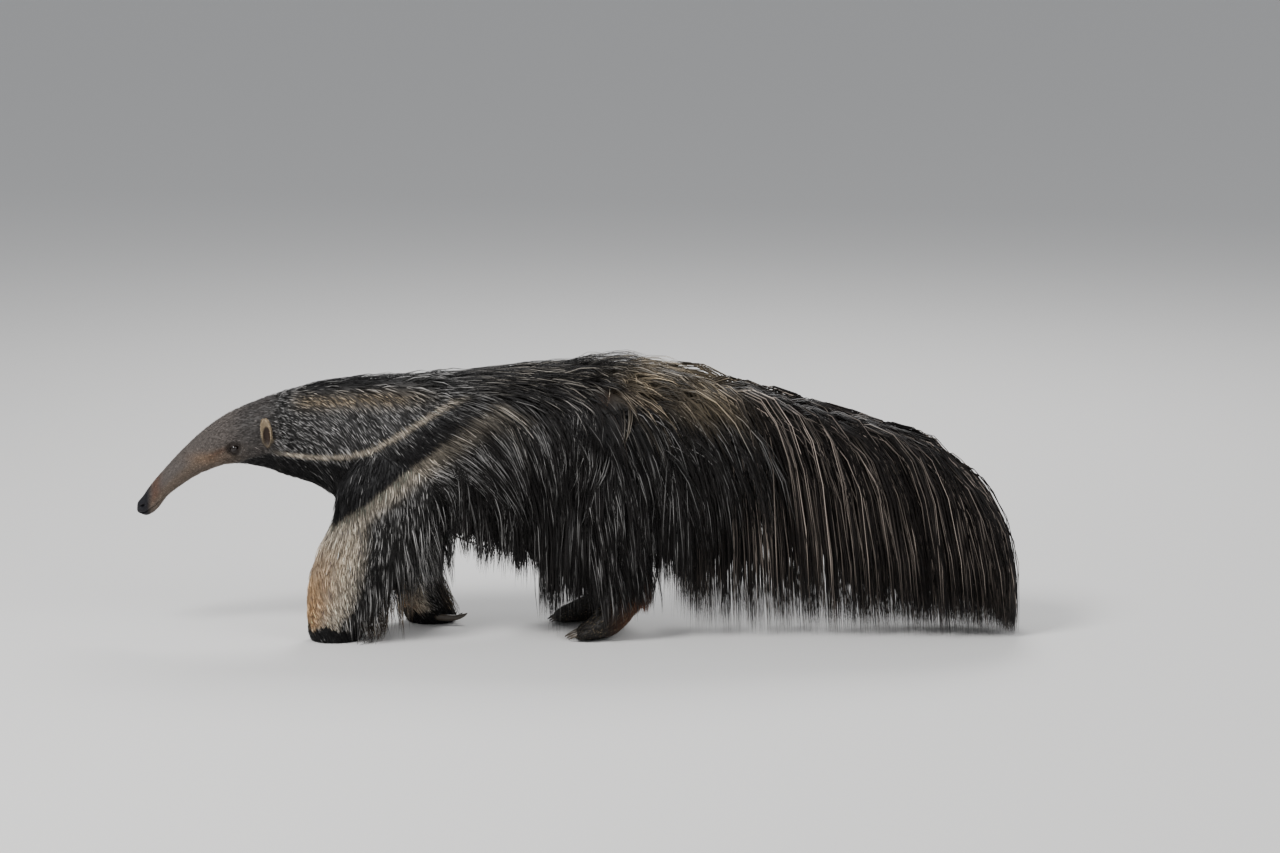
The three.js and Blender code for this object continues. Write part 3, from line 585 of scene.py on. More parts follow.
def trunk_colours(p):
    """Paint for the head, neck and body."""
    x, y, z = np.moveaxis(p, -1, 0)
    under = level_on(THROAT_LINE, x) - z
    # Above the white line the neck is dark with dense pale ticks, tan high on its side, dark on the ridge.
    paint = Paint(p.shape, NECK, PEPPER * 1.1, 0.46)
    warm = bell(z, 505 + 0.06 * (x + 500), 17) * ease(x, -612, -560) * ease(x, -250, -390) * (np.abs(y) > 12)
    paint.mix(warm, light=BLOND)
    paint.mix(warm * 0.7, base=NECK_SIDE)
    paint.pale = paint.pale + 0.16 * warm
    ridge = ease(np.abs(y), 46, 22) * ease(-under, 100, 125) * ease(x, -610, -540)
    paint.mix(0.8 * ridge, base=BLACK)
    paint.mix(0.7 * ridge, pale=0)
    paint.mix(ease(under, 2, 7) * ease(x, -140, -215), BLACK, GREY_AND_SHEEN, 0.05)
    # Behind the black wedge: a cream border that frays into ticks, then the dark flank, its grey strands
    # partly pale hair and partly painted sheen.
    gap = level_on(CHEST_LINE, x) - z
    behind = ease(gap, -3, 4) * ease(x, -505, -475) * ease(x, -105, -150)
    cream = ease(gap, 72, 8) * (0.8 + 0.2 * ease(x, -220, -330))
    ticks = blend(PEPPER * 1.15, CREAM, cream)
    paint.mix(behind, blend(SHOULDER, CREAM * 0.33, cream), ticks, 0.5 + 0.42 * cream)
    paint.mix(ease(x - 0.3 * (z - 400), -330, -190) * (1 - cream * behind), DARK, GREY_AND_SHEEN, 0.27)
    paint.mix(0.7 * ease(x, -260, -120) * ease(z, 505, 545), light=CROWN)
    blond = np.maximum(bell(x, 128, 50) * ease(z, 490, 540), bell(x, 262, 60) * ease(z, 455, 500))
    paint.mix(0.85 * blond, base=BLOND * 0.45)
    paint.mix(blond, light=BLOND * 1.15)
    paint.pale = np.maximum(paint.pale, 0.75 * blond)
    paint.mix(0.4 * bell(x, 66, 17) * bell(z, 520, 16), base=RUST)
    head = head_colours(p)
    is_head = ease(x, -612, -655)
    throat = ease(under, -1, 5) * ease(x, -722, -705) * ease(x, -600, -640)
    paint.mix(is_head, base=head, pale=0.35 * (1 - throat))
    paint.mix(throat, base=BLACK)
    paint.mix(is_head * (1 - throat), light=head * 1.7 + 0.02)
    # The thin white line.
    away, share = line_distance(np.stack([x, z], -1), WHITE_LINE)
    stripe = ease(away, 6.0, 2.5) * (np.abs(y) > 25) * ease(share, 0, 0.12) * ease(share, 1, 0.86)
    paint.mix(stripe, CREAM * 0.7, CREAM * 1.35)
    paint.pale = np.maximum(paint.pale, 0.8 * stripe)
    return paint


def foreleg_colours(p, front, root_level):
    """front runs from 0 at the back of the leg to 1 at its front edge; root_level is how high hairs start."""
    x, y, z = np.moveaxis(p, -1, 0)
    edge = np.interp(z, [30, 90, 180, 260], [0.40, 0.42, 0.50, 0.66])
    cream = ease(front - edge, -0.07, 0.13)
    base, light = blend(FORELEG, CREAM * 0.58, cream), blend(PEPPER * 1.05, CREAM * 1.15, cream)
    paint = Paint(p.shape, base, light, 0.44 + 0.38 * cream)
    orange = ease(front, 0.54, 0.96) * ease(z, 260, 80) * ease(z, 5, 40)
    paint.mix(0.85 * orange, base=TAN)
    paint.mix(0.8 * orange, light=TAN * 1.3)
    rear = ease(front, 0.2, 0.04) * ease(z, 120, 70)
    paint.mix(rear, BROWN * 0.8, BLOND * 0.7)
    paint.mix(0.4 * rear, pale=0)
    gap = level_on(CHEST_LINE, x) - z
    paint.mix(ease(gap, 62, 8) * ease(x, -180, -320), CREAM * 0.36, CREAM * 1.1, 0.9)
    wrist = ease(root_level + 5 * np.sin(x / 9) + 4 * np.sin(y / 7), 44, 32)
    paint.mix(wrist, BLACK, GREY_AND_SHEEN, 0.04)
    body = trunk_colours(p)
    paint.mix(ease(gap, 3, -3), body.base, body.light, body.pale)
    return paint


def hind_colours(p):
    x, y, z = np.moveaxis(p, -1, 0)
    # The grey strands here are partly pale hair and partly painted sheen.
    paint = Paint(p.shape, DARK, GREY_AND_SHEEN, 0.24)
    paint.mix(ease(z, 180, 110) * ease(x, 60, 120), base=RUST * 1.2)
    paint.mix(ease(z, 140, 90), light=BLOND * 0.5)
    return paint


def tail_colours(p):
    x, y, z = np.moveaxis(p, -1, 0)
    blond = bell(x, 275, 75) * ease(level_on(CREST, x) - z, 95, 45)
    # Grey-brown strands, partly pale hair and partly painted sheen, are fewer towards the hem.
    paint = Paint(p.shape, TAIL, TAIL_PALE_AND_SHEEN, 0.36 * (1 - 0.5 * ease(z, 120, 40)) + 0.2 * blond)
    paint.mix(0.7 * blond, base=BLOND * 0.3)
    paint.mix(blond, light=BLOND * 0.9)
    return paint


# Tufts

SIDE_LIMIT = 152.0
PATCH = 0.003
DENSITY_ROWS = 110
ROOT_DEPTH = 1.2
LOCK_PULL = 0.35


def pick(tube, per_area, us, columns):
    """Draws points on a tube, as many for each patch as its area times per_area(u, v) asks for."""
    vs = (np.arange(columns) + 0.5) / columns
    grid_u, grid_v = np.meshgrid((us[1:] + us[:-1]) / 2, vs, indexing="ij")
    corner = tube.at(us[:, None], (np.arange(columns + 1) / columns)[None, :])
    side_a = corner[1:, :-1] - corner[:-1, :-1]
    side_b = corner[:-1, 1:] - corner[:-1, :-1]
    area = np.linalg.norm(np.cross(side_a, side_b), axis=-1).ravel()
    grid_u, grid_v = grid_u.ravel(), grid_v.ravel()
    wanted = area * per_area(grid_u, grid_v) * COAT_SCALE
    counts = np.floor(wanted + rng.random(len(wanted))).astype(int)
    index = np.repeat(np.arange(len(counts)), counts)
    span = np.repeat(np.diff(us), columns)
    u = grid_u[index] + (rng.random(len(index)) - 0.5) * span[index]
    v = grid_v[index] + (rng.random(len(index)) - 0.5) / columns
    return np.clip(u, 0, tube.last), v


def outside(points, normals, reach=2.5):
    """Which roots lie on the finished skin and not inside another part of the body."""
    keep = np.zeros(len(points), bool)
    for i, (p, n) in enumerate(zip(points, normals)):
        _, face_normal, _, away = tree.find_nearest(p)
        keep[i] = away < reach and face_normal.dot(Vector(n)) > -0.2
    return keep


def lie(paths, clear, floor=1.5):
    """Lifts the points of each path out of the skin by its clearance and keeps them above the floor."""
    for i in range(paths.shape[0]):
        for k in range(1, paths.shape[1]):
            p = paths[i, k]
            hit, normal, _, _ = tree.find_nearest(p)
            up = (p[0] - hit[0]) * normal[0] + (p[1] - hit[1]) * normal[1] + (p[2] - hit[2]) * normal[2]
            need = clear[i] * min(1.0, 0.4 + 0.3 * k)
            if up < need:
                paths[i, k] = p + np.array(normal) * (need - up)
    paths[..., 2] = np.maximum(paths[..., 2], floor)
    return paths


def above_crest(paths):
    """How far points stand above the outline of the back, which falls away to both sides."""
    return paths[..., 2] - (level_on(CREST, paths[..., 0]) - 0.1 * np.abs(paths[..., 1]))


def within_sides(paths):
    """Presses hair that stands out beyond the animal's width back towards it."""
    over = np.maximum(np.abs(paths[..., 1]) - SIDE_LIMIT, 0)
    paths[..., 1] -= 0.7 * over * np.sign(paths[..., 1])
    return paths


def guides(p, n, flow, length, lift, droop, steps):
    """Paths that leave the skin along flow, raised by lift, and bend towards the ground by droop."""
    flow = unit(flow - n * np.sum(flow * n, -1, keepdims=True))
    paths = np.empty((len(p), steps + 1, 3))
    here = p - n * 1.5
    paths[:, 0] = here
    for k in range(steps):
        t = k / max(steps - 1, 1)
        lean = (lift * (1 - 0.8 * t))[:, None]
        heading = unit(flow * (1 - droop * t)[:, None] + n * lean + (0, 0, -1) * (droop * t)[:, None])
        here = here + heading * (length / steps)[:, None]
        paths[:, k + 1] = here
    return paths


def gather(paths, keys, strength):
    """Draws the ends of paths with one key together into a lock."""
    _, inverse = np.unique(keys, return_inverse=True)
    count = np.bincount(inverse)
    mean = np.zeros((len(count),) + paths.shape[1:])
    np.add.at(mean, inverse, paths)
    mean /= count[:, None, None]
    t = np.linspace(0, 1, paths.shape[1])[None, :, None]
    return paths + (mean[inverse] - paths) * strength * t


def litter(paths, roots, kids, clump, spread, wave, middle=0.6):
    """Children of each guide: each starts at its own root, and its tip is drawn in to the guide's."""
    count, points, _ = paths.shape
    t = np.linspace(0, 1, points)[None, None, :, None]
    off = (roots - paths[:, None, 0])[:, :, None, :]
    stretch = 1 + (rng.random((count, kids, 1, 1)) - middle) * spread
    body = (paths - paths[:, :1])[:, None] * stretch
    pull = clump[:, None, None, None] * t**1.2
    made = paths[:, None, :1] + body + off * (1 - pull)
    made = made + rng.normal(0, 1, (count, kids, points, 3)) * wave * t
    return made.reshape(count * kids, points, 3)


coats = []


def tufts(name, paths, normals, widths, colours, uv):
    """Closed three-sided blades along the paths, tapered to a point, in pieces below the limit."""
    count, points, _ = paths.shape
    rings = points - 1
    tangent = unit(np.gradient(paths, axis=1))
    side = unit(np.cross(normals[:, None, :], tangent))
    deep = np.cross(tangent, side)
    tip = 0.35 if rings < 6 else 0.7
    taper = np.interp(np.arange(rings) / rings, [0, 0.3, 0.75, 1], [0.8, 1, 0.6 + 0.4 * tip, tip])
    half = widths[:, None, None] * taper[None, :, None] / 2
    at = paths[:, :rings]
    s, d = side[:, :rings] * half, deep[:, :rings] * half * 0.55
    ring = np.stack([at + s - d * 0.5, at + d, at - s - d * 0.5], 2).reshape(count, rings * 3, 3)
    points_all = np.concatenate([ring, paths[:, rings:]], 1)
    per = rings * 3 + 1
    pattern = []
    for r in range(rings - 1):
        for k in range(3):
            a, b = r * 3 + k, r * 3 + (k + 1) % 3
            pattern += [(a, b, b + 3), (a, b + 3, a + 3)]
    last = (rings - 1) * 3
    pattern += [(last + k, last + (k + 1) % 3, per - 1) for k in range(3)]
    pattern = np.array(pattern + [(0, 2, 1)])
    shades = np.concatenate([np.repeat(colours[:, :rings], 3, axis=1), colours[:, rings:]], 1)
    station = np.concatenate([np.repeat(np.arange(rings), 3), [rings]]) / rings
    swing = np.concatenate([np.tile([0.0, 0.5, 1.0], rings), [0.5]])
    patch = np.stack([swing, station], 1) * PATCH - PATCH / 2
    chunk = PIECE_LIMIT // len(pattern)
    for part in range(0, count, chunk):
        n = min(chunk, count - part)
        mesh = bpy.data.meshes.new(name)
        verts = to_world(points_all[part : part + n].reshape(-1, 3)).astype(np.float32)
        tris = (pattern[None] + (np.arange(n) * per)[:, None, None]).reshape(-1, 3).astype(np.int32)
        mesh.vertices.add(len(verts))
        mesh.vertices.foreach_set("co", verts.ravel())
        mesh.loops.add(tris.size)
        mesh.loops.foreach_set("vertex_index", tris.ravel())
        mesh.polygons.add(len(tris))
        mesh.polygons.foreach_set("loop_start", np.arange(0, tris.size, 3, dtype=np.int32))
        per_vertex = (uv[part : part + n, None] + patch[None]).reshape(-1, 2)
        set_unwrap(mesh, per_vertex[tris.ravel()])
        set_tint(mesh, shades[part : part + n].reshape(-1, 3))
        mesh.update()
        mesh.validate()
        set_smooth(mesh)
        piece = linked(f"{name}_{part // chunk + 1}", mesh)
        coats.append(piece)
    print(f"{name}: {count} tufts, {count * len(pattern)} triangles")


def hair_colours(paths, kids, colours, root_weight, root=0.5, spread=0.3, band_start=0.6, band=(0.3, 0.9)):
    """Each hair takes the base colour, darkened towards its root as painted shade, or, by its share, a pale
    one with a dark root; locks vary as one.
    """
    count, points, _ = paths.shape
    spots = paths + rng.normal(0, 1.2, paths.shape)
    spots = spots + (spots[:, :1] - spots) * root_weight[:, None, None]
    paint = colours(spots)
    t = np.linspace(0, 1, points)[None, :, None]
    lock = np.repeat(rng.normal(0, 1, count // kids), kids)
    chosen = (rng.random(count) < paint.pale[:, 0] * np.exp(0.22 * lock - 0.03))[:, None, None]
    jitter = np.exp(rng.normal(0, spread, (count, 1, 1)) + 0.12 * lock[:, None, None])
    start = rng.uniform(0.0, band_start, (count, 1, 1))
    stop = start + rng.uniform(*band, (count, 1, 1))
    # Hairs of the base colour darken towards the root as painted shade deep in the coat; pale bases get more
    # of it, as painted shadow between their strands.
    root = np.where(paint.base > 0.2, 0.6 * root, root)
    dark = paint.base * (root + (1 - root) * t)
    lit = ease(t - start, -0.05, 0.25) * ease(t - stop, 0.1, -0.1)
    return np.where(chosen, paint.base * 0.7 + (paint.light - paint.base * 0.7) * lit, dark) * jitter


def rise_at(v):
    """1 along the top or front of a tube, -1 along the other side."""
    return np.cos(TURN * v)


def coat(tube_name, name, style, steps, kids, first=0.0, last=None, columns=64, lock=0.0):
    """Grows a coat on one tube. style gives the tufts' sizes and lie for v, points and tangents."""
    tube = tubes[tube_name]

    def density(u, v):
        p, _, along, down = tube.frames(u, v)
        return style(v, p, along, down).density / kids

    us = np.linspace(first, tube.last if last is None else last, DENSITY_ROWS)
    u, v = pick(tube, density, us, columns)
    p, n, along, down = tube.frames(u, v)
    keep = outside(p, n)
    u, v, p, n = u[keep], v[keep], p[keep], n[keep]
    s = style(v, p, along[keep], down[keep])
    count = len(p)
    droop, clump = (np.broadcast_to(value, count) for value in (s.droop, s.clump))
    length = s.length * rng.uniform(0.75, 1.15, count)
    paths = guides(p, n, s.flow, length, s.lift * rng.uniform(0.6, 1.5, count), droop, steps)
    stretch, girth = tube.scale(u)
    if lock:
        keys = np.floor(u * stretch / lock) * 1000 + np.floor(v * girth / lock)
        paths = gather(paths, keys, LOCK_PULL)
    slack = rng.uniform(-13, 9, count)[:, None]
    paths[..., 2] -= 0.8 * np.maximum(above_crest(paths) + slack, 0)
    paths = lie(paths, s.clear * rng.uniform(0.4, 1.2, count))
    cell = np.minimum(0.6 * np.sqrt(kids / np.maximum(s.density, 1e-6)), 9)[:, None]
    shift_u = np.clip(rng.normal(0, 1, (count, kids)), -2, 2) * cell / stretch[:, None]
    shift_v = np.clip(rng.normal(0, 1, (count, kids)), -2, 2) * cell / girth[:, None]
    kid_u = np.clip(u[:, None] + shift_u, 0, tube.last)
    kid_v = v[:, None] + shift_v
    roots = tube.at(kid_u, kid_v) - n[:, None] * ROOT_DEPTH
    made = within_sides(litter(paths, roots, kids, clump, spread=0.3, wave=s.wave))
    made[..., 2] = np.maximum(made[..., 2], 1.0)
    u, v = kid_u.ravel(), kid_v.ravel()
    front = (rise_at(v) + 1)[:, None] / 2
    rules = {
        "trunk": trunk_colours,
        "fore": lambda spots: foreleg_colours(spots, front, spots[:, :1, 2]),
        "hind": hind_colours,
    }
    from_root = ease(np.repeat(length, kids), 34, 60) * ease(made[:, 0, 0], -240, -110)
    shades = hair_colours(made, kids, rules[tube_name.split("_")[0]], from_root)
    widths = np.repeat(s.width, kids) * rng.uniform(0.7, 1.3, count * kids)
    tufts(name, made, np.repeat(n, kids, 0), widths, shades, tube.uv(u, v))


# Styles: hairs for each square millimetre, and how long, wide, lifted, drooping, clumped and wavy they are.

Style = namedtuple("Style", "density length width flow lift droop clear clump wave")


def head_style(v, p, along, down):
    x = p[:, 0]
    back = ease(x, -900, -640)
    eye = np.linalg.norm(p * (1, 0, 1) + np.abs(p) * (0, 1, 0) - EYE_AT, axis=1)
    length = 4 + 12 * back**1.6
    length = np.where(eye < 24, np.minimum(length, 3.5), length)
    width = 0.7 + 0.45 * back
    bare = (eye > 12.5) & (x > -912)
    density = (0.9 + 0.7 * back) / (length * width) * bare * ease(x, -606, -626)
    flow = along + (0.1 + 0.3 * ease(x, -720, -640))[:, None] * down
    clear = 0.45 + 1.6 * back
    return Style(density, length, width, flow, lift=0.13, droop=0.0, clear=clear, clump=0.25, wave=0.12)


def neck_style(v, p, along, down):
    x = p[:, 0]
    top = ease(rise_at(v), 0.8, 0.97)
    mane = top * ease(x, -620, -440)
    length = 16 + 16 * ease(x, -640, -460) + mane * (30 + 40 * ease(x, -520, -280))
    width = 1.15 + 0.35 * ease(x, -600, -400) + 0.4 * mane
    density = 2.3 / (length * width) * ease(x, -644, -624) * ease(x, -262, -318)
    fall = 0.45 + 0.25 * ease(x, -620, -400)
    flow = along + (fall * (1 - top))[:, None] * down
    lift, droop = 0.16 + 0.16 * mane, 0.2 + 0.1 * mane
    return Style(density, length, width, flow, lift, droop, clear=2.6 + 4 * mane, clump=0.4, wave=0.45)


def body_style(v, p, along, down):
    x, y, z = p.T
    rise = rise_at(v)
    grown = ease(x, -330, -90)
    top = ease(rise, 0.74, 0.95)
    belly = ease(rise, -0.5, -0.85)
    length = 52 + 88 * grown + 22 * grown * ease(rise, 0.8, 0.1)
    length = np.maximum(length, top * (70 + 80 * ease(x, -400, 0)))
    length = length * (1 - belly) + belly * (44 + 66 * grown)
    width = 1.35 + 0.4 * grown
    density = (4.2 + 0.6 * grown) / (length * width) * ease(x, -336, -290)
    slant = ease(rise, 0.99, 0.45)
    fall = slant * (0.45 + 0.75 * grown)
    parting = 0.3 * ease(np.abs(y), 4, 30) * (np.abs(y) < 40) * np.sign(y)
    flow = along * (1 - 0.35 * slant * grown)[:, None] + down * fall[:, None] + parting[:, None] * (0, 1, 0)
    lift = 0.14 + 0.08 * grown + 0.23 * top * ease(x, -180, 40)
    droop = (0.2 + 0.5 * grown) * (0.4 + 0.6 * slant) + 0.3 * ease(rise, 0.0, -0.45) * ease(x, -300, -200)
    return Style(density, length, width, flow, lift, droop, 4 + 13 * grown, 0.36 + 0.24 * grown, wave=0.9)


def foreleg_style(v, p, along, down):
    z = p[:, 2]
    front = (rise_at(v) + 1) / 2
    near = p[:, 1] < 0
    feather = near * ease(front, 0.42, 0.14) * ease(z, 34, 66) * ease(z, 330, 240)
    fringe = np.maximum(ease(front, 0.16, 0.03) * ease(z, 40, 70), feather)
    length = 13 + 17 * ease(z, 30, 100) + 6 * ease(z, 160, 300) + fringe * (55 + 22 * near)
    width = 1.25 + 0.25 * ease(z, 40, 120) + 0.3 * fringe
    density = (2.1 + 2.4 * feather) / (length * width) * (z > 2)
    round_leg = 0.3 + 0.55 * ease(z, 210, 70) * ease(front, 0.1, 0.5)
    flow = along + round_leg[:, None] * down
    lift, droop = 0.15 + 0.25 * fringe + 0.55 * feather, 0.1 + 0.6 * fringe - 0.15 * feather
    clear, clump = 3.2 + 7 * fringe + 8 * feather, 0.38 + 0.3 * fringe
    return Style(density, length, width, flow, lift, droop, clear, clump, wave=0.5)


def hindleg_style(v, p, along, down):
    z = p[:, 2]
    thigh = ease(z, 110, 220)
    ahead = ease(rise_at(v), 0.0, 0.8)
    length = 50 + 85 * thigh + 45 * ahead * ease(z, 120, 190)
    width = 1.5 + 0.4 * thigh
    density = (4.0 + 1.0 * thigh) / (length * width)
    flow = along * 0.6 + 0.2 * down - (0.25 + 0.75 * ahead)[:, None] * (0, 0, 1)
    lift, droop = 0.26 + 0.22 * ahead * ease(z, 100, 170), 0.45 + 0.3 * thigh
    return Style(density, length, width, flow, lift, droop, 7 + 8 * thigh, 0.4 + 0.35 * thigh, wave=0.8)


def foot_style(v, p, along, down):
    z = p[:, 2]
    length = 5 + 13 * ease(z, 22, 70)
    width = np.full(len(v), 1.3)
    density = 1.5 / (length * width) * (z > 3)
    return Style(density, length, width, along, lift=0.12, droop=0.1, clear=1.5, clump=0.3, wave=0.25)


coat("trunk", "coat_head", head_style, steps=2, kids=3, last=12.0, columns=60)
coat("trunk", "coat_neck", neck_style, steps=3, kids=4, first=9.5, last=17.0, columns=72)
coat("trunk", "coat_body", body_style, steps=4, kids=8, first=15.0, columns=72, lock=30)
for side in SIDES:
    coat("fore_" + side, "coat_fore_" + side, foreleg_style, steps=3, kids=4)
for side in SIDES:
    leg = "hind_" + side
    coat(leg, "coat_" + leg, hindleg_style, steps=4, kids=8, lock=30)
    coat(leg + "_foot", "coat_foot_" + leg, foot_style, steps=2, kids=3)

# Hanging hair: long arcs that leave the rump and the dock along the ridge, bend over and hang to the hem.

TAIL_HEM = np.array(
    [(150, 165), (180, 130), (240, 82), (320, 40), (430, 20), (560, 12), (700, 6), (800, 4), (930, 40)], float
)
FLANK_HEM = np.array(
    [
        (-290, 232), (-250, 184), (-192, 152), (-134, 136), (-80, 118),
        (-62, 26), (10, 34), (60, 78), (120, 96),
    ],
    float,
)
TAIL_REAR = np.array(
    [(58, 930), (137, 926), (227, 912), (287, 882), (348, 840), (390, 793), (620, 793)], float
)
TAIL_END = 926.0
HANG_STATIONS = np.array([0, 0.07, 0.16, 0.28, 0.42, 0.58, 0.78, 1.0])
ARCH = 3 * (1 - HANG_STATIONS) ** 2 * HANG_STATIONS / 0.444
LOCKS = {"tail": 830, "rump": 280, "flank": 370}
EAR_HAIRS = 1500
HANG_PULL = 0.34
HANG_CLEAR = 3.0
CURL = 5.0


def bezier(points, t):
    t = t[None, :, None]
    a, b, c, d = (points[:, k : k + 1] for k in range(4))
    return (1 - t) ** 3 * a + 3 * (1 - t) ** 2 * t * b + 3 * (1 - t) * t**2 * c + t**3 * d


def either_side(count):
    return np.where(rng.random(count) < 0.5, -1.0, 1.0)


def turn_at(side, angle):
    """v at so many degrees from the top, on one side."""
    return np.where(side > 0, angle / 360, 1 - angle / 360)


def hang(name, tube, u, side, angle, points, kids, widths, pitch):
    """Long locks, spaced by pitch, along paths through given points, each with its litter of single hairs."""
    count = len(u)
    keys = np.floor(points[:, 3, 0] / pitch[0]) * 1000 + np.floor(angle / pitch[1]) * 10 + side
    paths = gather(bezier(points, HANG_STATIONS), keys, HANG_PULL)
    end = level_on(TAIL_REAR, paths[..., 2]) - rng.uniform(0, 22, (count, 1))
    paths[..., 0] = np.minimum(paths[..., 0], end)
    over = above_crest(paths).max(axis=1) + rng.uniform(-10, 8, count)
    paths[..., 2] -= np.maximum(over, 0)[:, None] * ARCH
    paths = lie(paths, np.full(count, HANG_CLEAR), floor=HANG_CLEAR)
    stretch, girth = tube.scale(u)
    kid_u = np.clip(u[:, None] + rng.normal(0, 9, (count, kids)) / stretch[:, None], 0, tube.last)
    kid_v = turn_at(side, angle)[:, None] + rng.normal(0, 6, (count, kids)) / girth[:, None]
    roots = tube.at(kid_u, kid_v)
    clump = rng.uniform(0.1, 0.75, count)
    made = within_sides(litter(paths, roots, kids, clump, spread=0.14, wave=1.6, middle=0.3))
    t = HANG_STATIONS[None, :]
    turn = TURN * rng.random((count * kids, 1)) + t * rng.uniform(2, 6, (count * kids, 1))
    made[..., 0] += CURL * t * np.sin(turn)
    made[..., 1] += CURL * t * np.cos(turn)
    made[..., 2] = np.maximum(made[..., 2], 2.0 + 4 * rng.random((count * kids, 1)))
    rule, weight = (tail_colours, 0.0) if tube is dock else (trunk_colours, 0.3)
    weights = np.full(count * kids, weight)
    # root=0.6 darkens these hairs towards their roots as painted shade.
    shades = hair_colours(made, kids, rule, weights, root=0.6, spread=0.35, band_start=0.8, band=(0.2, 0.7))
    facing = np.sign(paths[:, -1, 1:2]) * (0, 1, 0)
    size = rng.uniform(*widths, count * kids)
    tufts(name, made, np.repeat(facing, kids, 0), size, shades, tube.uv(kid_u.ravel(), kid_v.ravel()))


def tail_coat():
    """Hair of the tail: it fans off the dock on both sides and falls to the hem."""
    count = int(LOCKS["tail"] * COAT_SCALE)
    scatter = partial(rng.uniform, size=count)
    share = rng.random(count) ** 0.92 * 0.985
    fore = rng.random(count) < 0.1
    share[fore] *= 0.13
    side = either_side(count)
    angle = 178 * rng.random(count) ** 1.3
    u = share * dock.last
    p, n, along, _ = dock.frames(u, turn_at(side, angle))
    x, _, z = p.T
    top = np.interp(angle, [0, 60, 120, 180], [1, 0.9, 0.45, 0.2])
    wide = np.interp(angle, [0, 8, 30, 90, 150, 180], [6, 60, 104, 72, 34, 8]) * scatter(0.75, 1.08)
    wide = wide * (1 - 0.3 * np.clip(share * 2 - 1, 0, 1))
    fall = z - level_on(TAIL_HEM, x + 60)
    slope = (0.10 + 0.26 * top * ease(share, -0.05, 0.25)) * scatter(0.55, 1.4)
    trail = slope * fall + 10 + 62 * top * ease(share, 0.0, 0.3)
    trail[fore] = scatter(-22, 34)[fore]
    tip_x = x + trail
    raised = scatter(-44, -10) + rng.random(count) ** 5 * 150
    hem = level_on(TAIL_HEM, np.minimum(tip_x, TAIL_END))
    tip_z = np.minimum(np.maximum(hem + raised, scatter(2, 8)), z - 30)
    below_crest = level_on(CREST, x + 40) - z + 0.1 * (z - tip_z)
    crown = np.interp(angle, [0, 30, 60, 90, 150], [2.2, 2.0, 1.2, 0.35, -0.1]) * below_crest
    crown = crown * scatter(0.55, 1.05) * np.interp(share, [0, 0.3], [0.45, 1])
    run = along * (34 + 0.62 * np.maximum(trail, 0))[:, None]
    points = [
        p - n * 2,
        p + run + np.stack([np.zeros(count), side * wide * 0.8, crown], 1),
        np.stack([tip_x - 0.1 * trail, side * wide * 1.2, z + (tip_z - z) * 0.36], 1),
        np.stack([tip_x, side * wide * scatter(0.7, 1.02), tip_z], 1),
    ]
    hang("coat_tail", dock, u, side, angle, np.stack(points, 1), 9, (1.2, 2.4), (24, 30))


def rump_coat():
    """Hair of the rump: it arches off the ridge and the haunches and falls over the root of the tail."""
    count = int(LOCKS["rump"] * COAT_SCALE)
    scatter = partial(rng.uniform, size=count)
    side = either_side(count)
    haunch = rng.random(count) < 0.36
    u = 20.0 + 2.9 * rng.random(count)
    u[haunch] = 21.2 + 1.7 * rng.random(haunch.sum())
    angle = 120 * rng.random(count) ** 0.9
    angle[haunch] = 70 + 85 * rng.random(haunch.sum())
    p, n, _, _ = trunk.frames(u, turn_at(side, angle))
    x, y, z = p.T
    top = np.interp(angle, [0, 40, 80, 120], [1, 0.8, 0.35, 0.15])
    reach = (70 + 150 * top) * scatter(0.7, 1.25)
    reach[haunch] = (scatter(172, 250) - x)[haunch]
    tip_x = x + reach
    hem = level_on(TAIL_HEM, tip_x)
    tip_z = np.maximum(z - (190 + 130 * top) * scatter(0.6, 1.15), hem + 25 + scatter(0, 60))
    tip_z[haunch] = (hem + scatter(-12, 50))[haunch]
    wide = np.maximum(np.interp(angle, [0, 20, 60, 120], [60, 92, 112, 112]), np.abs(y)) * scatter(0.85, 1.05)
    wide = np.minimum(wide, 124)
    lift = (26 * top + 10) * scatter(0.6, 1.4)
    points = [
        p - n * 2,
        p + np.stack([0.5 * reach, side * (wide - np.abs(y)) * 0.7, lift * 1.9], 1),
        np.stack([x + 0.9 * reach, side * wide * 1.08, z + (tip_z - z) * 0.34], 1),
        np.stack([tip_x, side * wide * scatter(0.85, 1.0), tip_z], 1),
    ]
    hang("coat_rump", trunk, u, side, angle, np.stack(points, 1), 8, (1.2, 2.2), (30, 24))


def flank_coat():
    """Dark hair that hangs from the belly, and in front of the hind legs almost to the ground."""
    count = int(LOCKS["flank"] * COAT_SCALE)
    scatter = partial(rng.uniform, size=count)
    side = either_side(count)
    u = 16.3 + 4.9 * rng.random(count)
    angle = scatter(84, 142) + 24 * rng.random(count) * (u < 18.2)
    p, n, along, _ = trunk.frames(u, turn_at(side, angle))
    x, y, z = p.T
    tip_x = x + scatter(-4, 40)
    tip_x = np.where((tip_x < -62) & (x > -100), -58.0, np.minimum(tip_x, 120))
    tip_z = level_on(FLANK_HEM, tip_x) + rng.random(count) ** 1.3 * 70 + scatter(-8, 8)
    wide = np.clip(np.abs(y) * scatter(0.8, 1.1) + 12 * ease(tip_x, -100, -60), 20, 136)
    points = [
        p - n * 2,
        p + n * scatter(10, 26)[:, None] + along * 26 - (0, 0, 20),
        np.stack([tip_x + scatter(-8, 8), side * (wide + 8), z + (tip_z - z) * 0.55], 1),
        np.stack([tip_x, side * wide * scatter(0.85, 1.0), tip_z], 1),
    ]
    hang("coat_flank", trunk, u, side, angle, np.stack(points, 1), 9, (1.1, 2.0), (24, 24))


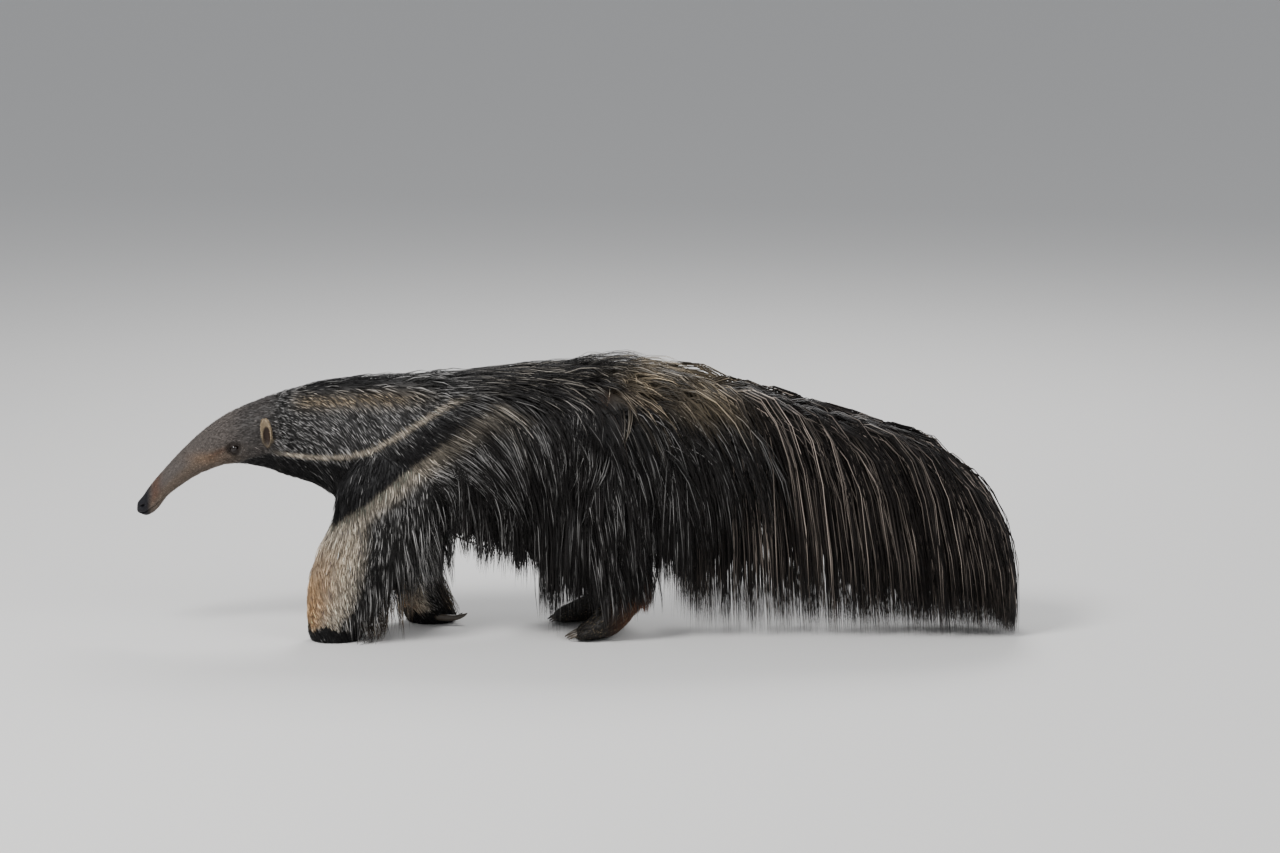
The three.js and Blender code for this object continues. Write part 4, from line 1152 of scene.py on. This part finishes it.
def ear_coat():
    """Short pale hair on the back and the rim of both ears."""
    count = int(EAR_HAIRS * COAT_SCALE)
    side = either_side(count)
    tau = 0.03 + 0.62 * rng.random(count)
    theta = TURN * rng.random(count)
    root, ahead, out = np.empty((3, count, 3))
    uv = np.empty((count, 2))
    for which in (-1, 1):
        rows = side == which
        root[rows] = ear_at(which, tau[rows], theta[rows])
        ahead[rows] = ear_at(which, tau[rows] + 0.03, theta[rows])
        uv[rows] = ear_uv(which, tau[rows], theta[rows])
        out[rows] = unit(root[rows] - ear_at(which, np.full(rows.sum(), 1.0), np.zeros(rows.sum())))
    flow = unit(unit(ahead - root) + (0.1, 0, 0.55))
    length = rng.uniform(3, 6, count)[:, None]
    paths = np.stack([root, root + flow * length * 0.5 + out * 0.7, root + flow * length + out * 0.6], 1)
    base = np.zeros(paths.shape) + EAR_HAIR
    base[paths[..., 2] < EAR_AT[2] - 12] *= 0.35
    shades = base * np.exp(rng.normal(0, 0.25, (count, 1, 1)))
    tufts("coat_ears", paths, out, rng.uniform(0.6, 1.0, count), shades, uv)


tail_coat()
rump_coat()
flank_coat()
ear_coat()

# Eyes and claws

FORE_CLAWS = {2: (-20, 62, 6.5), 3: (-36, 88, 9), 4: (0, 30, 5)}
HIND_CLAWS = {1: -28, 2: -14.5, 3: 0, 4: 14.5, 5: 28}
HIND_CLAW_RADIUS = 4.6
WRIST_REAR = {"left": -460, "right": -268}
TOE_TIP = {"left": 14, "right": -26}


def ball_object(name, centre, radius):
    bm = bmesh.new()
    bmesh.ops.create_uvsphere(bm, u_segments=48, v_segments=32, radius=radius / 1000)
    mesh = bpy.data.meshes.new(name)
    bm.to_mesh(mesh)
    bm.free()
    mesh.transform(Matrix.Translation(Vector(to_world(centre))))
    set_smooth(mesh)
    return linked(name, mesh)


def claw_object(name, path, radius):
    """A curved horn through four points, deeper than broad, with a ridge along its back and a worn tip."""
    rings, columns = 16, 16
    t = np.linspace(0, 1, rings)
    spine = bezier(np.array([path], float), t)[0]
    along = unit(np.gradient(spine, axis=0))
    across = unit((0, 1, 0) - along * along[:, 1:2])
    upward = np.cross(along, across)
    upward *= np.where(upward[:, 2:3] < 0, -1, 1)
    girth = radius * np.interp(t, [0, 0.35, 0.7, 0.92, 1], [1, 0.92, 0.62, 0.3, 0.06])[:, None, None]
    angle = TURN * np.arange(columns) / columns
    lobe = 1 - 0.16 * np.cos(angle) ** 2 + 0.07 * np.maximum(np.sin(angle), 0) ** 6
    wide = (0.78 * np.cos(angle) * lobe)[None, :, None]
    tall = (np.where(np.sin(angle) > 0, 1.0, 0.78) * np.sin(angle) * lobe)[None, :, None]
    grid = spine[:, None] + girth * (across[:, None] * wide + upward[:, None] * tall)
    grid[..., 2] = np.maximum(grid[..., 2], 0.6)
    made = closed_form(name, grid, [spine[0], spine[-1]])
    set_smooth(made.data)
    return made


eyes = [ball_object("eyeball_" + name, EYE_AT * (1, side, 1), EYE_RADIUS) for name, side in SIDES.items()]
horns = {}
for name, side in SIDES.items():
    rear = WRIST_REAR[name]
    for digit, (y, length, radius) in FORE_CLAWS.items():
        level = radius + 2
        end = rear + length * 0.42
        at = side * (FORE_Y + y)
        spots = [
            (rear - 34, at, level + 6),
            (rear - 4, at + side * 4 / 3, level - 1),
            (rear * 0.4 + end * 0.6, at + side * 8 / 3, level),
            (end, at + side * 4, level + 13),
        ]
        horns[f"claw_forefoot_{name}_{digit}"] = claw_object(f"horn_fore_{name}_{digit}", spots, radius)
    for digit, y in HIND_CLAWS.items():
        toe = TOE_TIP[name] + abs(y) * 0.32
        at = side * HIND_Y + y
        spots = [(toe + 6, at, 15), (toe - 14, at, 16), (toe - 24, at, 12), (toe - 34, at, 4.5)]
        horn = claw_object(f"horn_hind_{name}_{digit}", spots, HIND_CLAW_RADIUS)
        horns[f"claw_hindfoot_{name}_{digit}"] = horn

# Materials


def wire(node, inputs):
    """Sets a shader node's inputs, each to a value or to another node's output."""
    for key, value in inputs.items():
        if isinstance(value, bpy.types.NodeSocket):
            node.id_data.links.new(value, node.inputs[key])
        else:
            node.inputs[key].default_value = value
    return node


def new_material(name, roughness, specular=0.5):
    material = bpy.data.materials.new(name)
    material.use_nodes = True
    nodes = material.node_tree.nodes
    shader = wire(nodes["Principled BSDF"], {"Roughness": roughness, "Specular IOR Level": specular})
    return material, nodes, shader


def tint_of(nodes):
    tint = nodes.new("ShaderNodeVertexColor")
    tint.layer_name = "Tint"
    return tint.outputs["Color"]


def noise_of(nodes, scale, detail):
    place = nodes.new("ShaderNodeTexCoord").outputs["Object"]
    noise = wire(nodes.new("ShaderNodeTexNoise"), {"Scale": scale, "Detail": detail, "Vector": place})
    return noise.outputs["Fac"]


def ramp_of(nodes, source, stops):
    ramp = wire(nodes.new("ShaderNodeValToRGB"), {"Fac": source})
    for element, (position, colour) in zip(ramp.color_ramp.elements, stops):
        element.position = position
        element.color = colour + (1,)
    return ramp.outputs["Color"]


def bump_of(nodes, source, strength, distance):
    bump = wire(nodes.new("ShaderNodeBump"), {"Strength": strength, "Distance": distance, "Height": source})
    return bump.outputs["Normal"]


def fur_material():
    material, nodes, shader = new_material("fur", 0.42, 0.22)
    wire(shader, {"Base Color": tint_of(nodes)})
    return material


def skin_material():
    material, nodes, shader = new_material("skin", 0.6, 0.25)
    fine = noise_of(nodes, 700, 5)
    mottle = ramp_of(nodes, fine, [(0.3, (0.45, 0.45, 0.45)), (0.7, (1, 1, 1))])
    vary = wire(nodes.new("ShaderNodeMixRGB"), {"Fac": 1.0, "Color1": tint_of(nodes), "Color2": mottle})
    vary.blend_type = "MULTIPLY"
    wire(shader, {"Base Color": vary.outputs["Color"], "Normal": bump_of(nodes, fine, 0.6, 0.0006)})
    return material


def ramped_material(name, scale, dark, bright, roughness, bump):
    material, nodes, shader = new_material(name, roughness)
    noise = noise_of(nodes, scale, 6)
    wire(shader, {"Base Color": ramp_of(nodes, noise, [(0, dark), (1, bright)])})
    if bump:
        wire(shader, {"Normal": bump_of(nodes, noise, bump, 0.0005)})
    return material


def paint_skin():
    """Gives the skin the same markings as the coat."""
    points = local_points(skin)
    x, y, z = points.T
    paint = trunk_colours(points)
    limits = np.interp(x, [-560, -480, -420, -250, -60, 0, 200], [300, 260, 240, 225, 240, 240, 280])
    for name, side in SIDES.items():
        rows = (z < limits) & (x < -180) & (y * side > 0)
        sections = tubes["fore_" + name].rows[::-1]
        front_x = np.interp(z[rows], sections[:, 1], sections[:, 0])
        rear_x = np.interp(z[rows], sections[:, 3], sections[:, 2])
        front = 1 - np.clip((x[rows] - front_x) / (rear_x - front_x), 0, 1)
        paint.put(rows, foreleg_colours(points[rows], front, z[rows]))
    rows = (z < limits) & (x > -120) & (x < 260)
    paint.put(rows, hind_colours(points[rows]))
    rows = x > 235
    paint.put(rows, tail_colours(points[rows]))
    fur = paint.base * 0.7 + (paint.light - paint.base) * paint.pale[:, None] * 0.22
    base = blend(fur, paint.base * 0.9, ease(x, -620, -660))
    for side in (-1, 1):
        local = (points - EAR_AT * (1, side, 1)) @ ear_axes(side)
        share = np.hypot(local[:, 0] / EAR_HALF[0], local[:, 2] / EAR_HALF[1])
        out, up = local[:, 1] * side, local[:, 2]
        near = (share < 1.1) & (out > -9.5) & (out < 3) & (y * side > 50)
        hollow = ease(share + 0.012 * up, 0.70, 0.5) * ease(out, -6.4, -5.4)
        shade = blend(blend(EAR_SKIN, EAR_HOLLOW, hollow), EAR_FOOT, ease(up, -14, -30))
        base[near] = shade[near]
    set_tint(skin.data, base)
    set_smooth(skin.data)


def wear(obj, material):
    obj.data.materials.clear()
    obj.data.materials.append(material)


paint_skin()
FUR = fur_material()
EYE = ramped_material("eye", 300, (0.003, 0.002, 0.002), (0.012, 0.006, 0.004), 0.07, 0.0)
HORN = ramped_material("horn", 240, (0.02, 0.016, 0.012), (0.12, 0.095, 0.07), 0.4, 0.4)

# What each piece stands for

FLESH = ["head", "neck", "torso", "tail", "ear_left", "ear_right"]
for limb in ("foreleg", "forefoot", "hindleg", "hindfoot"):
    FLESH += [limb + "_left", limb + "_right"]
wear(skin, skin_material())
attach(skin, "root")
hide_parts(*FLESH)
for piece in coats:
    wear(piece, FUR)
    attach(piece, "root")
for eye, side in zip(eyes, SIDES):
    wear(eye, EYE)
    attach(eye, "root")
    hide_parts("eye_" + side)
for node, horn in horns.items():
    wear(horn, HORN)
    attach(horn, "root")
    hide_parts(node)

# Floor, light and camera

LAMPS = {
    "key": ((-2.2, -2.4, 4.0), 1.6, 270),
    "fill": ((3.2, -2.6, 3.0), 2.6, 90),
    "rim": ((0.6, 3.2, 3.8), 2.0, 170),
}
LAMP_TARGET = Vector((0, 0, 0.2))
VIEW_DISTANCE = 9.0
VIEW_ELEVATION = math.radians(10.0)
MM_PER_PIXEL = 2.12
PHOTO_WIDTH = 1280
SENSOR_WIDTH = 36
VIEW_MIDDLE = (140.0, 0.0, 442.0)


def studio():
    bpy.ops.mesh.primitive_plane_add(size=120, location=(0, 0, 0))
    floor = bpy.context.object
    floor.name = "floor"
    material, _, shader = new_material("floor", 0.9)
    wire(shader, {"Base Color": (0.6, 0.59, 0.575, 1)})
    wear(floor, material)
    world = bpy.context.scene.world or bpy.data.worlds.new("World")
    bpy.context.scene.world = world
    world.use_nodes = True
    wire(world.node_tree.nodes["Background"], {"Color": (0.92, 0.95, 1.0, 1), "Strength": 0.55})
    for name, (location, size, power) in LAMPS.items():
        data = bpy.data.lights.new(name, "AREA")
        data.size = size
        data.energy = power
        made = linked(name, data)
        made.location = location
        made.rotation_euler = (LAMP_TARGET - Vector(location)).to_track_quat("-Z", "Y").to_euler()


def photo_camera():
    data = bpy.data.cameras.new("camera")
    data.sensor_width = SENSOR_WIDTH
    data.lens = SENSOR_WIDTH * VIEW_DISTANCE / (PHOTO_WIDTH * MM_PER_PIXEL / 1000)
    made = linked("camera", data)
    back = Vector((0, -math.cos(VIEW_ELEVATION), math.sin(VIEW_ELEVATION)))
    made.location = Vector(to_world(VIEW_MIDDLE)) + back * VIEW_DISTANCE
    made.rotation_euler = (-back).to_track_quat("-Z", "Y").to_euler()
    bpy.context.scene.camera = made


studio()
photo_camera()
